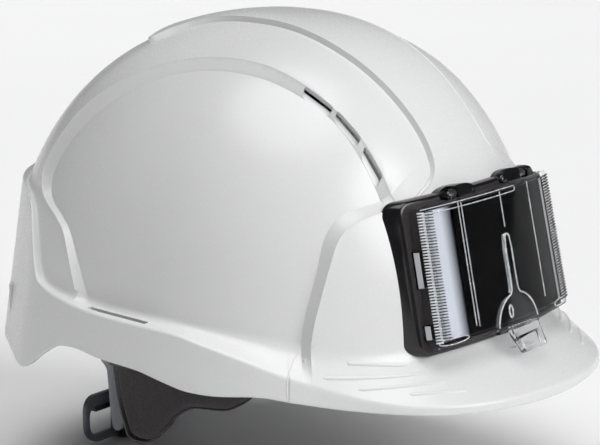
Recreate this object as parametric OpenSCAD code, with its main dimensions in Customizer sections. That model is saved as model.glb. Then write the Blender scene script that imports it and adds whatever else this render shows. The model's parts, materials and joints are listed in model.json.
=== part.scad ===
// Ventilated mid-peak safety helmet with a hinged card holder, webbing
// cradle and slip-ratchet nape adjuster.  Millimetres.  +Z is up, the peak
// points to -Y, the wearer's right is -X.

/* [Shell] */
// Half width of the dome at its base
dome_half_width = 106; // [90:120]
// Dome centre to its front at the base
dome_front = 114; // [100:125]
// Dome centre to its rear at the base
dome_rear = 130; // [110:140]
// Dome height above the base plane
dome_height = 140; // [120:150]
// Dome centre, measured rearward from the head axis
dome_centre = 12; // [0:20]
// Moulded wall thickness
wall = 3; // [2.5:0.1:4]
// Height of the raised crown band and front pad
raise = 2; // [0:0.5:3]
// Depth of the recessed side panels
recess = 2.5; // [0:0.5:3]

/* [Card holder] */
// Outside radius of the bowed clear cover
cover_radius = 150; // [120:200]
// Half width of the cover, in degrees of its bow
cover_angle = 19.7; // [15:0.1:22]
// Half height of the cover
cover_half = 29.5; // [28:0.5:32]
// Lean of the holder from the vertical
holder_lean = 12; // [5:20]
// Wall thickness of the cover
cover_wall = 1.8; // [1.5:0.1:2.5]

/* [Harness] */
// Half width of the headband
band_half_width = 80; // [74:84]
// Headband centre to its front
band_front = 99; // [90:104]
// Headband centre to its rear, if it were closed
band_rear = 94; // [85:98]
// Headband thickness
band_wall = 2; // [1.5:0.1:2.5]
// Width of the crown webbing
strap_width = 20; // [15:25]
// Height of the webbing crossing
crown_height = 104; // [95:112]

/* [Hidden] */
$fn = 48;

CY = dome_centre;
pm = 2.2;    // plan exponent of the dome
pn = 2.26;   // profile exponent of the dome
columns = 120;
dome_rows = 17;

// ---------- general helpers ----------
function sst(a, b, x) = let (t = min(1, max(0, (x - a) / (b - a)))) t * t * (3 - 2 * t);
function flat(l) = [for (a = l) for (b = a) b];
function away(p) = let (q = ((p % 360) + 360) % 360) min(q, 360 - q);
function pol(p, r, z) = [-r * sin(p), CY - r * cos(p), z];

// closed skin through rings, between two poles
module pole_skin(p0, rings, p1) {
    n = len(rings[0]);
    m = len(rings);
    pts = concat([p0], flat(rings), [p1]);
    polyhedron(pts, concat(
        [for (j = [0:n - 1]) [0, 1 + j, 1 + (j + 1) % n]],
        [for (i = [0:m - 2]) for (j = [0:n - 1])
            [1 + i * n + j, 1 + (i + 1) * n + j, 1 + (i + 1) * n + (j + 1) % n]],
        [for (i = [0:m - 2]) for (j = [0:n - 1])
            [1 + i * n + j, 1 + (i + 1) * n + (j + 1) % n, 1 + i * n + (j + 1) % n]],
        [for (j = [0:n - 1]) [1 + m * n, 1 + (m - 1) * n + (j + 1) % n, 1 + (m - 1) * n + j]]),
        convexity = 8);
}

// bar swept through sections of equal length; closed = the ends meet
module sweep(secs, closed = false) {
    k = len(secs[0]);
    n = len(secs);
    last = closed ? n - 1 : n - 2;
    polyhedron(flat(secs), concat(
        [for (i = [0:last]) for (j = [0:k - 1])
            [i * k + j, ((i + 1) % n) * k + j, ((i + 1) % n) * k + (j + 1) % k]],
        [for (i = [0:last]) for (j = [0:k - 1])
            [i * k + j, ((i + 1) % n) * k + (j + 1) % k, i * k + (j + 1) % k]],
        closed ? [] : [for (j = [1:k - 2]) [0, j, j + 1]],
        closed ? [] : [for (j = [1:k - 2]) [(n - 1) * k, (n - 1) * k + j + 1, (n - 1) * k + j]]),
        convexity = 6);
}

// ---------- shell ----------
function r0(p) = 1 / pow(pow(abs(sin(p)) / dome_half_width, pm)
    + pow(abs(cos(p)) / (cos(p) > 0 ? dome_front : dome_rear), pm), 1 / pm);
function dr(p, z) = r0(p) * pow(1 - pow(max(z, 0) / dome_height, pn), 1 / pn);

// stations round the shell, by degrees away from the front
function foot_z(a) = lookup(a, [[0, 14], [31, 15], [41, 17], [49, 20], [65, 23], [85, 26],
    [102, 27], [113, 29], [121, 31], [127, 48], [132, 58], [139, 62], [150, 63], [180, 63]]);
function edge_z(a) = lookup(a, [[0, -2], [28, -1.5], [38, 1], [45, 5], [52, 9.5], [62, 16.5],
    [70, 21], [77, 24], [99, 26], [111, 28], [120, 32], [126, 50], [131, 61], [138, 65.5],
    [150, 67], [180, 67]]);
function ledge_w(a) = lookup(a, [[0, 31], [16, 28.5], [26, 23.5], [34, 17], [41, 11.5],
    [48, 9], [60, 8], [77, 7], [92, 6.5], [110, 5.5], [121, 4.5], [130, 3.6], [180, 3.6]]);
function rim_z(a) = lookup(a, [[0, -6], [20, -5.5], [40, -3.5], [52, -0.5], [58, 1], [68, 0],
    [73, 0.5], [79, 3], [86, 6], [97, 7.5], [104, 9], [109, 8], [115, 2], [120, -5],
    [124, -8], [130, -7], [138, -5], [150, -6], [180, -7]]);
function draft(a) = lookup(a, [[0, 0.05], [50, 0.06], [70, 0.1], [130, 0.14], [180, 0.14]]);

// raised crown band and front pad, sunk side panels
function band_x(y) = lookup(y, [[-110, 24], [-84, 23], [-72, 20], [30, 19], [47, 22], [62, 34]]);
function pad_a(z) = lookup(z, [[20, 48], [35, 48], [67, 42], [74, 38], [78, 33]]);
function panel_x(y) = lookup(y, [[-90, 45], [0, 48], [18, 51], [45, 57], [73, 63], [85, 70],
    [90, 74], [100, 86]]);
function panel_z(a) = lookup(a, [[100, -50], [106, 10], [108, 27], [115, 50], [121, 58],
    [131, 65], [137, 73], [141, 90]]);
function feature(x, y, z) =
    let (a = away(atan2(-x, CY - y)),
         crown = (1 - sst(band_x(y) - 1.5, band_x(y) + 1.5, abs(x))) * (1 - sst(60, 64, y)) * sst(70, 76, z),
         pad = (1 - sst(pad_a(z) - 2, pad_a(z) + 1.5, a)) * (1 - sst(76, 80, z)),
         panel = sst(panel_x(y), panel_x(y) + 4, abs(x)) * sst(panel_z(a), panel_z(a) + 4, z)
             * (z > 79 ? 1 : sst(pad_a(z) + 1, pad_a(z) + 4, a)))
    raise * max(crown, pad) - recess * panel;

function nrm(v) = v / norm(v);
function dome_n(q) = nrm([q[0] / pow(dome_half_width, 2),
    (q[1] - CY) / pow(q[1] < CY ? dome_front : dome_rear, 2), q[2] / pow(dome_height, 2)]);
function theta_foot(p) = acos(pow(foot_z(away(p)) / dome_height, pn / 2));
function dome_pt(p, t, depth) =
    let (q = pol(p, r0(p) * pow(sin(t), 2 / pn), dome_height * pow(cos(t), 2 / pn)),
         n = dome_n(q))
    q + n * (feature(q[0], q[1], q[2]) - depth);
function edge_r(p) = dr(p, edge_z(away(p))) + ledge_w(away(p));
function rim_r(p) = edge_r(p) + draft(away(p)) * (edge_z(away(p)) - rim_z(away(p)));
function skirt_r(p, z) = edge_r(p) - wall + draft(away(p)) * (edge_z(away(p)) - z);
ring_a = [for (j = [0:columns - 1]) j * 360 / columns];
function ledge_pt(p, f, depth) =
    let (a = away(p), rf = dr(p, foot_z(a)),
         r = rf - depth + (edge_r(p) - rf) * f,
         z = foot_z(a) + (edge_z(a) - foot_z(a)) * pow(f, 0.75) - depth)
    pol(p, r, z);

module shell_skin() {
    outer = concat(
        [for (i = [1:dome_rows]) [for (p = ring_a) dome_pt(p, theta_foot(p) * i / dome_rows, 0)]],
        [for (f = [0.2, 0.55]) [for (p = ring_a) ledge_pt(p, f, 0)]],
        [[for (p = ring_a) pol(p, edge_r(p), edge_z(away(p)))]],
        [[for (p = ring_a) pol(p, rim_r(p), rim_z(away(p)))]]);
    inner = concat(
        [[for (p = ring_a) pol(p, rim_r(p) - wall + 0.3, rim_z(away(p)))]],
        [[for (p = ring_a) pol(p, edge_r(p) - wall, edge_z(away(p)) - wall)]],
        [for (f = [0.55, 0.2]) [for (p = ring_a) ledge_pt(p, f, wall)]],
        [for (i = [dome_rows:-1:1]) [for (p = ring_a) dome_pt(p, theta_foot(p) * i / dome_rows, wall)]]);
    pole_skin([0, CY, dome_height + raise], concat(outer, inner), [0, CY, dome_height + raise - wall]);
}

// frame whose z axis is the dome's normal near a point, y along the vent row
module at_dome(q, lean) {
    n = dome_n(q);
    t = nrm([0, -cos(lean), -sin(lean)] - n * (n * [0, -cos(lean), -sin(lean)]));
    s = cross(t, n);
    multmatrix([[s[0], t[0], n[0], q[0]], [s[1], t[1], n[1], q[1]], [s[2], t[2], n[2], q[2]], [0, 0, 0, 1]])
        children();
}

module vent(q, lean, long) {
    at_dome(q, lean) cube([4.4, long, 16], center = true);
}

key_a = [35, 90, 145, 215, 270, 325];
function key_z(p) = away(p) < 60 ? 19 : 8;     // underside of each pocket
function key_r(p) = away(p) < 60 ? dr(p, 30) - wall : skirt_r(p, key_z(p) + 8);

module key_place(p) {
    translate([0, CY, key_z(p)]) rotate([0, 0, -90 - p]) translate([key_r(p), 0, 0]) children();
}

module shell() {
    color([0.93, 0.93, 0.93]) resize([0, 0, 0]) difference() {
        union() {
            shell_skin();
            for (p = key_a) key_place(p) translate([-7.5, -13, 0]) cube([9, 26, 13]);
        }
        for (s = [-1, 1]) {
            vent([s * 48, -40, 116], 32, 14);
            vent([s * 47, -56, 104.5], 42, 13);
            vent([s * 47, -67.5, 91], 55, 15);
            translate([s * 106.7, 19, 26]) rotate([0, 0, s * 2]) cube([2.4, 32, 16], center = true);
        }
        for (p = key_a) key_place(p) translate([-5.5, -9.5, -1]) cube([3, 19, 12]);
        for (s = [-1, 1]) holder_place() translate([s * 30, 0, -40]) cylinder(r = 2.3, h = 60);
    }
}

// ---------- card holder ----------
module holder_place() {
    translate([0, -106.2, 49]) rotate([90 - holder_lean, 0, 0]) children();
}
// depth of the bow at x, for a surface of radius r about the cover's axis
function bow(x, r) = sqrt(r * r - x * x) - cover_radius;
function world(x, v, w) = [x, -106.2 + v * sin(holder_lean) - w * cos(holder_lean),
    49 + v * cos(holder_lean) + w * sin(holder_lean)];
function outside(q, o) =
    let (a = dome_half_width + o, b = (q[1] < CY ? dome_front : dome_rear) + o, h = dome_height + o,
         r = pow(pow(abs(q[0]) / a, pm) + pow(abs(q[1] - CY) / b, pm), 1 / pm))
    pow(r, pn) + pow(max(q[2], 0) / h, pn) - 1;
// depth at which the line through x, v meets the dome, by halving
function dome_w(x, v, o, lo = -60, hi = 5, i = 0) = i > 12 ? (lo + hi) / 2 :
    let (m = (lo + hi) / 2) outside(world(x, v, m), o) > 0 ? dome_w(x, v, o, lo, m, i + 1) : dome_w(x, v, o, m, hi, i + 1);

// block between the shell and a bowed front face
module bowed_block(half_x, half_v, r, o, nx = 14, nv = 6) {
    xs = [for (i = [-nx:nx]) half_x * i / nx];
    vs = [for (i = [-nv:nv]) half_v * i / nv];
    m = len(vs);
    n = len(xs);
    // the shell's foot rises under the block's lower edge
    back = [for (x = xs) for (v = vs) [x, v, dome_w(x, v, o) + 0.45 * max(0, -28 - v)]];
    front = [for (q = back) [q[0], q[1], max(bow(q[0], r), q[2] + 1.5)]];
    N = n * m;
    polyhedron(concat(front, back), concat(
        [for (i = [0:n - 2]) for (j = [0:m - 2]) [i * m + j, i * m + j + 1, (i + 1) * m + j + 1]],
        [for (i = [0:n - 2]) for (j = [0:m - 2]) [i * m + j, (i + 1) * m + j + 1, (i + 1) * m + j]],
        [for (i = [0:n - 2]) for (j = [0:m - 2]) [N + i * m + j, N + (i + 1) * m + j + 1, N + i * m + j + 1]],
        [for (i = [0:n - 2]) for (j = [0:m - 2]) [N + i * m + j, N + (i + 1) * m + j, N + (i + 1) * m + j + 1]],
        [for (j = [0:m - 2]) [j, N + j, N + j + 1]], [for (j = [0:m - 2]) [j, N + j + 1, j + 1]],
        [for (j = [0:m - 2]) let (e = (n - 1) * m) [e + j, N + e + j + 1, N + e + j]],
        [for (j = [0:m - 2]) let (e = (n - 1) * m) [e + j, e + j + 1, N + e + j + 1]],
        [for (i = [0:n - 2]) [i * m, N + (i + 1) * m, N + i * m]], [for (i = [0:n - 2]) [i * m, (i + 1) * m, N + (i + 1) * m]],
        [for (i = [0:n - 2]) let (e = m - 1) [i * m + e, N + i * m + e, N + (i + 1) * m + e]],
        [for (i = [0:n - 2]) let (e = m - 1) [i * m + e, N + (i + 1) * m + e, (i + 1) * m + e]]),
        convexity = 4);
}

module rounded(x, y, r) {
    for (i = [-1, 1]) for (j = [-1, 1]) translate([i * (x - r), j * (y - r)]) circle(r, $fn = 24);
    square([2 * x, 2 * (y - r)], center = true);
    square([2 * (x - r), 2 * y], center = true);
}

// part of a ring about the cover's axis
module seg(r1, r2, v1, v2, a1, a2) {
    translate([0, 0, -cover_radius]) rotate([-90, 0, 0]) rotate([0, 0, a1 - 90])
        rotate_extrude(angle = a2 - a1, $fn = 240) translate([r1, v1]) square([r2 - r1, v2 - v1]);
}

hinge_v = 31.2;
hinge_w = -7;
lobe_x = 17.2;   // middle of each hinge lobe
ear_x = 26.6;    // middle of each ear of the cover

module holder_base() {
    color([0.03, 0.03, 0.035]) holder_place() difference() {
        union() {
            resize([0, 0, 0]) difference() {
                union() {
                    // flared body that meets the shell
                    intersection() {
                        bowed_block(60, 38, cover_radius - 5.9, 2.35);
                        translate([0, 0, -60]) linear_extrude(62, scale = [0.6, 0.9]) rounded(73, 34.7, 7);
                    }
                    // rim that the cover closes on
                    intersection() {
                        bowed_block(60, 38, cover_radius - 2.2, 2.35);
                        translate([0, 0, -60]) linear_extrude(62) rounded(45.6, 29, 3);
                    }
                    // bottom catch for the latch
                    translate([-9, -34, -7]) cube([18, 6, 4]);
                }
                // hollow back
                intersection() {
                    bowed_block(44, 27, cover_radius - 5.4, -30);
                    translate([0, 0, -70]) linear_extrude(80) rounded(43.2, 26.8, 3);
                }
                // card pocket
                intersection() {
                    translate([-43.6, -27.6, -14]) cube([87.2, 55.2, 20]);
                    seg(cover_radius - 3.4, cover_radius + 3, -27.6, 27.6, -17.3, 17.3);
                }
                for (s = [-1, 1]) {
                    translate([s * ear_x - 2.8, 28, -9.8]) cube([5.6, 12, 11]);
                    // windows in the side walls
                    translate([s * 48 - 6, -4, -13.5]) cube([12, 15.5, 4]);
                    translate([s * 48 - 6, -25.5, -13.5]) cube([12, 6.5, 4]);
                    translate([s * 30, 0, -20]) cylinder(r = 2.3, h = 30, $fn = 24);
                }
            }
            // hinge lobes
            for (s = [-1, 1]) translate([s * lobe_x, hinge_v, hinge_w]) rotate([0, 90, 0])
                cylinder(r = 2.9, h = 13.4, center = true);
        }
        for (s = [-1, 1]) translate([s * lobe_x, hinge_v, hinge_w]) rotate([0, 90, 0])
            cylinder(r = 1.57, h = 15, center = true);
    }
}

rivet_w = dome_w(34.2, 0, 2) - wall - 0.5;
module holder_rivets() {
    color([0.12, 0.12, 0.12]) for (s = [-1, 1]) holder_place() translate([s * 30, 0, 0]) {
        translate([0, 0, rivet_w]) cylinder(r = 2.1, h = bow(30, cover_radius - 4) - rivet_w);
        translate([0, 0, rivet_w - 1.4]) cylinder(r = 4, h = 1.5);
    }
}

module card_insert() {
    color([0.02, 0.02, 0.02]) holder_place()
        seg(cover_radius - 2.3, cover_radius - 2, -26.8, 26.8, -11.6, 16.7);
}

module id_card() {
    color([0.9, 0.91, 0.93]) holder_place()
        seg(cover_radius - 3.2, cover_radius - 2.44, -27, 27, -16.9, 16.9);
}

module latch_shape(g) {
    translate([-3 + g, -31]) square([6 - 2 * g, 38.6]);
    translate([0, 7.6]) circle(3 - g, $fn = 32);
    intersection() {
        translate([0, -30]) circle(15.4 - g, $fn = 64);
        translate([-20, -31]) square([40, 20]);
    }
}

module holder_cover() {
    color([0.85, 0.9, 0.95, 0.35]) holder_place() difference() {
        union() {
            seg(cover_radius - cover_wall, cover_radius, -cover_half, cover_half, -cover_angle, cover_angle);
            for (s = [-1, 1]) {
                seg(cover_radius - 5.4, cover_radius - 0.4, -cover_half, cover_half,
                    s > 0 ? cover_angle - 0.7 : -cover_angle, s > 0 ? cover_angle : 0.7 - cover_angle);
                // grip ribs
                for (i = [-22:22]) seg(cover_radius - 0.5, cover_radius + 0.6, i * 1.22 - 0.35, i * 1.22 + 0.35,
                    s > 0 ? 16.2 : -18.6, s > 0 ? 18.6 : -16.2);
                // ears
                translate([s * ear_x, hinge_v, hinge_w]) rotate([0, 90, 0]) cylinder(r = 2.4, h = 4.4, center = true);
                translate([s * ear_x - 2.2, 28.8, hinge_w + 0.3]) cube([4.4, 4, bow(29, cover_radius) - hinge_w - 0.6]);
            }
        }
        translate([0, 0, -12]) linear_extrude(20) latch_shape(0);
        for (s = [-1, 1]) translate([s * ear_x, hinge_v, hinge_w]) rotate([0, 90, 0])
            cylinder(r = 1.5, h = 8, center = true);
    }
}

module hinge_pins() {
    color([0.6, 0.6, 0.62]) holder_place() for (s = [-1, 1])
        translate([s * 19.8, hinge_v, hinge_w]) rotate([0, 90, 0]) cylinder(r = 1.5, h = 17.6, center = true);
}

module thumb_latch() {
    color([0.85, 0.9, 0.95, 0.35]) holder_place() {
        intersection() {
            seg(cover_radius - cover_wall, cover_radius, -30.9, 15, -7, 7);
            translate([0, 0, -12]) linear_extrude(20) latch_shape(0.4);
        }
        // thumb loop that stands out below the pad
        translate([0, -30, 0.3]) rotate([-22, 0, 0]) difference() {
            translate([0, 0, -1.2]) linear_extrude(2.6) polygon([[-11.8, 0.5], [11.8, 0.5], [11.3, -3.4], [8.2, -9.6], [-8.2, -9.6], [-11.3, -3.4]]);
            translate([0, 0, -2]) linear_extrude(4) polygon([[-8.6, -3.6], [8.6, -3.6], [6.4, -7.6], [-6.4, -7.6]]);
        }
        // leg and lip that hook under the base
        translate([-8, -38.4, -5]) cube([16, 1.8, 8.2]);
        translate([-8, -38.4, -5]) cube([16, 4, 1.4]);
    }
}

// ---------- webbing cradle ----------
module harness_keys() {
    color([0.12, 0.12, 0.13]) for (p = key_a) key_place(p) {
        translate([-5.2, -9, -0.4]) cube([2.4, 18, 11]);
        translate([-16.2, -11, -4]) cube([14.7, 22, 3.6]);
        difference() {
            translate([-16.2, -12, -4]) cube([1.3, 24, 8.8]);
            translate([-17, -10.6, 1.4]) cube([4, 21.2, 2]);
        }
    }
}

// one length of webbing over the crown, between keys at p and p + 180
module strap(p, top) {
    ra = key_r(p) - 15 + 0.2;
    rb = key_r(p + 180) - 15 + 0.2;
    za = key_z(p) + 1;
    zb = key_z(p + 180) + 1;
    secs = [for (i = [-18:18])
        let (t = 90 * i / 18, s = t < 0 ? ra : rb, z0 = t < 0 ? za : zb,
             u = (t < 0 ? -1 : 1) * s * pow(abs(sin(t)), 0.8),
             z = z0 + (top - z0) * pow(cos(t), 0.86),
             nu = (t < 0 ? -1 : 1) * pow(abs(sin(t)), 1.2) / s,
             nz = pow(max(cos(t), 0.0001), 1.14) / (top - z0),
             n = [nu, nz] / norm([nu, nz]),
             d = [-sin(p), -cos(p)], w = [cos(p), -sin(p)] * strap_width / 2)
        [for (c = [[-1, 0], [1, 0], [1, 1.2], [-1, 1.2]])
            let (uu = -u + n[0] * -c[1], zz = z + n[1] * c[1])
            [d[0] * uu + w[0] * c[0], CY + d[1] * uu + w[1] * c[0], zz]]];
    sweep(secs);
}

module strap_front_right() { color([0.2, 0.2, 0.22]) strap(35, crown_height); }
module strap_side()        { color([0.2, 0.2, 0.22]) strap(90, crown_height + 1.6); }
module strap_front_left()  { color([0.2, 0.2, 0.22]) strap(325, crown_height + 3.2); }

module crown_pad() {
    color([0.15, 0.15, 0.16]) translate([0, CY, crown_height - 6.8]) {
        cylinder(r1 = 24, r2 = 26, h = 5);
        cylinder(r = 11, h = 6.2);
    }
}

// ---------- headband ----------
function hb_r(q) = cos(q) > 0
    ? 1 / sqrt(pow(sin(q) / band_half_width, 2) + pow(cos(q) / band_front, 2))
    : 1 / pow(pow(abs(sin(q)) / band_half_width, 3) + pow(abs(cos(q)) / band_rear, 3), 1 / 3);
function band_low(a) = lookup(a, [[0, -8], [54, -7], [60, -8], [65, -13], [71, -17], [81, -18],
    [88, -23], [92, -29], [97, -35], [101, -38], [106, -37], [110, -27], [112, -18], [113, -9]]);
function band_high(a) = lookup(a, [[0, 20], [80, 20], [97, 18], [108, 8], [113, -3]]);
// band between two angles, offset out from the headband's outer face
module ribbon(a0, a1, out0, out1, lo, hi, step = 2) {
    n = round((a1 - a0) / step);
    sweep([for (i = [0:n])
        let (q = a0 + (a1 - a0) * i / n, a = abs(q), l = band_low(a) + lo, h = band_high(a) + hi,
             r1 = hb_r(q) + out0, r2 = hb_r(q) + out1)
        [pol(q, r1, l), pol(q, r2, l), pol(q, r2, h), pol(q, r1, h)]]);
}

module headband() {
    color([0.06, 0.06, 0.065]) {
        ribbon(-113, 113, -band_wall, 0, 0, 0);
        for (p = [35, 90, 270, 325]) translate([0, CY, key_z(p) > 10 ? 15.5 : 10]) rotate([0, 0, -90 - p])
            translate([hb_r(p) - 1, -6, 0]) cube([key_r(p) - 16.25 - hb_r(p) + 1, 12, 3]);
    }
}

module sweatband() {
    color([0.1, 0.1, 0.11]) ribbon(-72, 72, -band_wall - 3.2, -band_wall - 0.1, 2, -1);
}

module wing_pad(s) {
    // felt facing inside the band's raised rim
    a0 = 60;
    a1 = 109;
    n = 28;
    sweep([for (i = [0:n])
        let (q = a0 + (a1 - a0) * i / n, l = min(band_low(q) + 2.6, 6), h = min(9, band_high(q) - 2),
             r1 = hb_r(q) + 0.05, r2 = hb_r(q) + 1.4, k = s > 0 ? q : -q)
        s > 0 ? [pol(k, r1, l), pol(k, r2, l), pol(k, r2, h), pol(k, r1, h)]
              : [pol(k, r1, h), pol(k, r2, h), pol(k, r2, l), pol(k, r1, l)]]);
}
module wing_pad_right() { color([0.28, 0.27, 0.27]) wing_pad(1); }
module wing_pad_left()  { color([0.28, 0.27, 0.27]) wing_pad(-1); }

// guides on the inside of the band that the cradle's arms slide through
module arm_guide(s) {
    difference() {
        translate([s > 0 ? 69.5 : -77.7, 22, -32.5]) cube([8.2, 10, 23]);
        translate([s * 72.6 - 1.65, 20, -30.8]) cube([3.3, 14, 19.6]);
    }
}
module arm_guide_right() { color([0.12, 0.12, 0.13]) arm_guide(-1); }
module arm_guide_left()  { color([0.12, 0.12, 0.13]) arm_guide(1); }

// ---------- nape adjuster ----------
// path of the cradle: straight arms, then round the nape
function nape_path(t) = abs(t) > 1
    ? [(t < 0 ? -1 : 1) * 72.6, 50 - (abs(t) - 1) * 50]
    : let (u = 90 * t) [72.6 * (t < 0 ? -1 : 1) * pow(abs(sin(u)), 1.33), 50 + 49 * pow(cos(u), 1.33)];
function nape_lo(t) = lookup(abs(t), [[0, -66], [0.12, -66], [0.2, -58], [0.27, -42], [0.34, -28], [0.45, -18],
    [0.6, -15], [0.7, -15], [0.78, -17], [0.89, -30], [0.95, -35], [1, -37], [1.1, -30.4], [1.55, -30.4], [1.75, -25], [2, -18]]);
function nape_hi(t) = lookup(abs(t), [[0, -20], [0.3, -12], [0.5, -6.4], [0.8, -6.4], [1, -9], [1.1, -11.6], [2, -11.6]]);
function nape_n(t) = let (a = nape_path(t - 0.004), b = nape_path(t + 0.004), d = (b - a) / norm(b - a)) [d[1], -d[0]];
module nape_ribbon(t0, t1, o0, o1, lo, hi, n) {
    sweep([for (i = [0:n])
        let (t = t0 + (t1 - t0) * i / n, c = nape_path(t), m = nape_n(t), l = nape_lo(t) + lo, h = nape_hi(t) + hi,
             a = c + m * o0, b = c + m * o1)
        [[a[0], a[1], l], [a[0], a[1], h], [b[0], b[1], h], [b[0], b[1], l]]]);
}

module nape_cradle() {
    color([0.42, 0.44, 0.48]) nape_ribbon(-1.95, 1.95, -1.3, 1.3, 0, 0, 78);
}

module nape_pad() {
    color([0.08, 0.08, 0.085]) nape_ribbon(-0.82, 0.82, 1.35, 5, 2, 0, 40);
}

// casing that the loop threads through, with the release button in its back
module adjuster_housing() {
    color([0.1, 0.1, 0.11]) difference() {
        union() {
            translate([-9.6, 100.6, -67.6]) cube([19.2, 9, 26.2]);
            for (s = [-1, 1]) translate([s * 5.7, 100.25, -55.75]) rotate([-90, 0, 0]) cylinder(r = 2.6, h = 0.6);
        }
        translate([-7.8, 102.6, -61.1]) cube([15.6, 5, 10.7]);
        translate([-3.6, 105, -60.05]) cube([7.2, 8, 8.6]);
        translate([-10.6, 103.4, -49.1]) cube([21.2, 3.2, 6.2]);
        translate([-10.6, 103.4, -66.1]) cube([21.2, 3.2, 3.8]);
        for (s = [-1, 1]) translate([s * 5.7, 99, -55.75]) rotate([-90, 0, 0]) cylinder(r = 1.3, h = 5);
    }
}

module housing_screws() {
    color([0.5, 0.5, 0.52]) for (s = [-1, 1]) translate([s * 5.7, 97.4, -55.75]) rotate([-90, 0, 0]) {
        cylinder(r = 1.25, h = 5.3);
        translate([0, 0, 5.2]) cylinder(r = 1.9, h = 1.3);
    }
}

// outline with tight upper and wide lower corners
module loop_outline(hx, z0, z1, rt, rb) {
    for (s = [-1, 1]) {
        translate([s * (hx - rt), z1 - rt]) circle(rt);
        translate([s * (hx - rb), z0 + rb]) circle(rb);
    }
    translate([-hx, z0 + rb]) square([2 * hx, z1 - rt - z0 - rb]);
    translate([rt - hx, z0 + rb]) square([2 * (hx - rt), z1 - z0 - rb]);
    translate([rb - hx, z0]) square([2 * (hx - rb), z1 - z0 - rt]);
}

module adjuster_loop() {
    color([0.36, 0.38, 0.42]) translate([0, 106.5, 0]) rotate([90, 0, 0]) linear_extrude(3) difference() {
        loop_outline(32.5, -66, -43, 5, 8.5);
        loop_outline(30.2, -62.4, -49, 1.5, 5);
    }
}

module release_button() {
    color([0.36, 0.38, 0.42]) {
        translate([-3.3, 106, -59.75]) cube([6.6, 5.6, 8]);
        translate([-6, 105.7, -60.75]) cube([12, 1.6, 10]);
    }
}

module button_spring() {
    color([0.7, 0.7, 0.72]) translate([0, 102.6, -55.75]) rotate([-90, 0, 0])
        for (i = [0:3]) translate([0, 0, 0.31 + i * 0.82]) rotate_extrude() translate([3.2, 0]) circle(0.3, $fn = 16);
}

shell();
holder_base();
holder_rivets();
card_insert();
id_card();
holder_cover();
hinge_pins();
thumb_latch();
harness_keys();
strap_front_right();
strap_side();
strap_front_left();
crown_pad();
headband();
sweatband();
wing_pad_right();
wing_pad_left();
arm_guide_right();
arm_guide_left();
nape_cradle();
nape_pad();
adjuster_housing();
housing_screws();
adjuster_loop();
release_button();
button_spring();
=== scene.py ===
"""Looks of the safety helmet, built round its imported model.  Lengths in the
design tables are millimetres; everything placed in the scene is in metres.
+Z is up, the peak points to -Y, the wearer's right is -X."""
import json
import math

import bmesh
import bpy
import numpy as np
from mathutils import Matrix, Vector


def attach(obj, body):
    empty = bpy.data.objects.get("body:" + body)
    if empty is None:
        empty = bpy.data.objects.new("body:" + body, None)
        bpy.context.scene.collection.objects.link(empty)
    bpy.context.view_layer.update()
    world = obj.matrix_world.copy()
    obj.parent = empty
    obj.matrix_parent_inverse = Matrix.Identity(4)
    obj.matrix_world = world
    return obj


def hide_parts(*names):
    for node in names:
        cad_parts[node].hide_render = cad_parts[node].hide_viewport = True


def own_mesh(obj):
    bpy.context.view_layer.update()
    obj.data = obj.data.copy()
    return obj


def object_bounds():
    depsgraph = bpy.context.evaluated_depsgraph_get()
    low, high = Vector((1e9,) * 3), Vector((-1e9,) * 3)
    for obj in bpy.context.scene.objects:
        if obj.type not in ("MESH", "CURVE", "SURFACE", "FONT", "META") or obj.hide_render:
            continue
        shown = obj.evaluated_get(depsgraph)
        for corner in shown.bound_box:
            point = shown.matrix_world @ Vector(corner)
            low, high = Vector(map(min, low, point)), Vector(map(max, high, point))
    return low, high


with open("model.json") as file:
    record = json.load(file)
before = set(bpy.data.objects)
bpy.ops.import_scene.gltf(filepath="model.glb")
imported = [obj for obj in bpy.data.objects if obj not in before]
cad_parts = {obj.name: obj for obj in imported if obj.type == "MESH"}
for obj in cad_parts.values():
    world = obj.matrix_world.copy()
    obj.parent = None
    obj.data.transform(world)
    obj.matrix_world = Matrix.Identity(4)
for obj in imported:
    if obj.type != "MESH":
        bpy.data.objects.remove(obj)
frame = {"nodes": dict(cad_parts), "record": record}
cad_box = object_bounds()
MM = 0.001


# ------------------------------------------------------------ general helpers
def link(o):
    bpy.context.scene.collection.objects.link(o)
    return o


def mesh_object(name, verts, faces, smooth=True, sharp=None):
    """Object from millimetre points and faces."""
    me = bpy.data.meshes.new(name)
    v = np.asarray(verts, float) * MM
    me.from_pydata([tuple(p) for p in v], [], [tuple(int(i) for i in f) for f in faces])
    me.validate()
    me.update()
    if smooth:
        me.shade_smooth()
    if sharp:
        me.set_sharp_from_angle(angle=math.radians(sharp))
    return link(bpy.data.objects.new(name, me))


def pchip(table, x):
    """Smooth monotone curve through a table of points, flat at both ends."""
    t = np.array(table, float)
    xs, ys = t[:, 0], t[:, 1]
    h = np.diff(xs)
    d = np.diff(ys) / h
    m = np.zeros_like(ys)
    for i in range(1, len(xs) - 1):
        if d[i - 1] * d[i] > 0:
            w1, w2 = 2 * h[i] + h[i - 1], h[i] + 2 * h[i - 1]
            m[i] = (w1 + w2) / (w1 / d[i - 1] + w2 / d[i])
    x = np.clip(np.asarray(x, float), xs[0], xs[-1])
    i = np.clip(np.searchsorted(xs, x, side="right") - 1, 0, len(xs) - 2)
    s = (x - xs[i]) / h[i]
    return ((1 + 2 * s) * (1 - s) ** 2 * ys[i] + s * (1 - s) ** 2 * h[i] * m[i]
            + s * s * (3 - 2 * s) * ys[i + 1] + s * s * (s - 1) * h[i] * m[i + 1])


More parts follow.
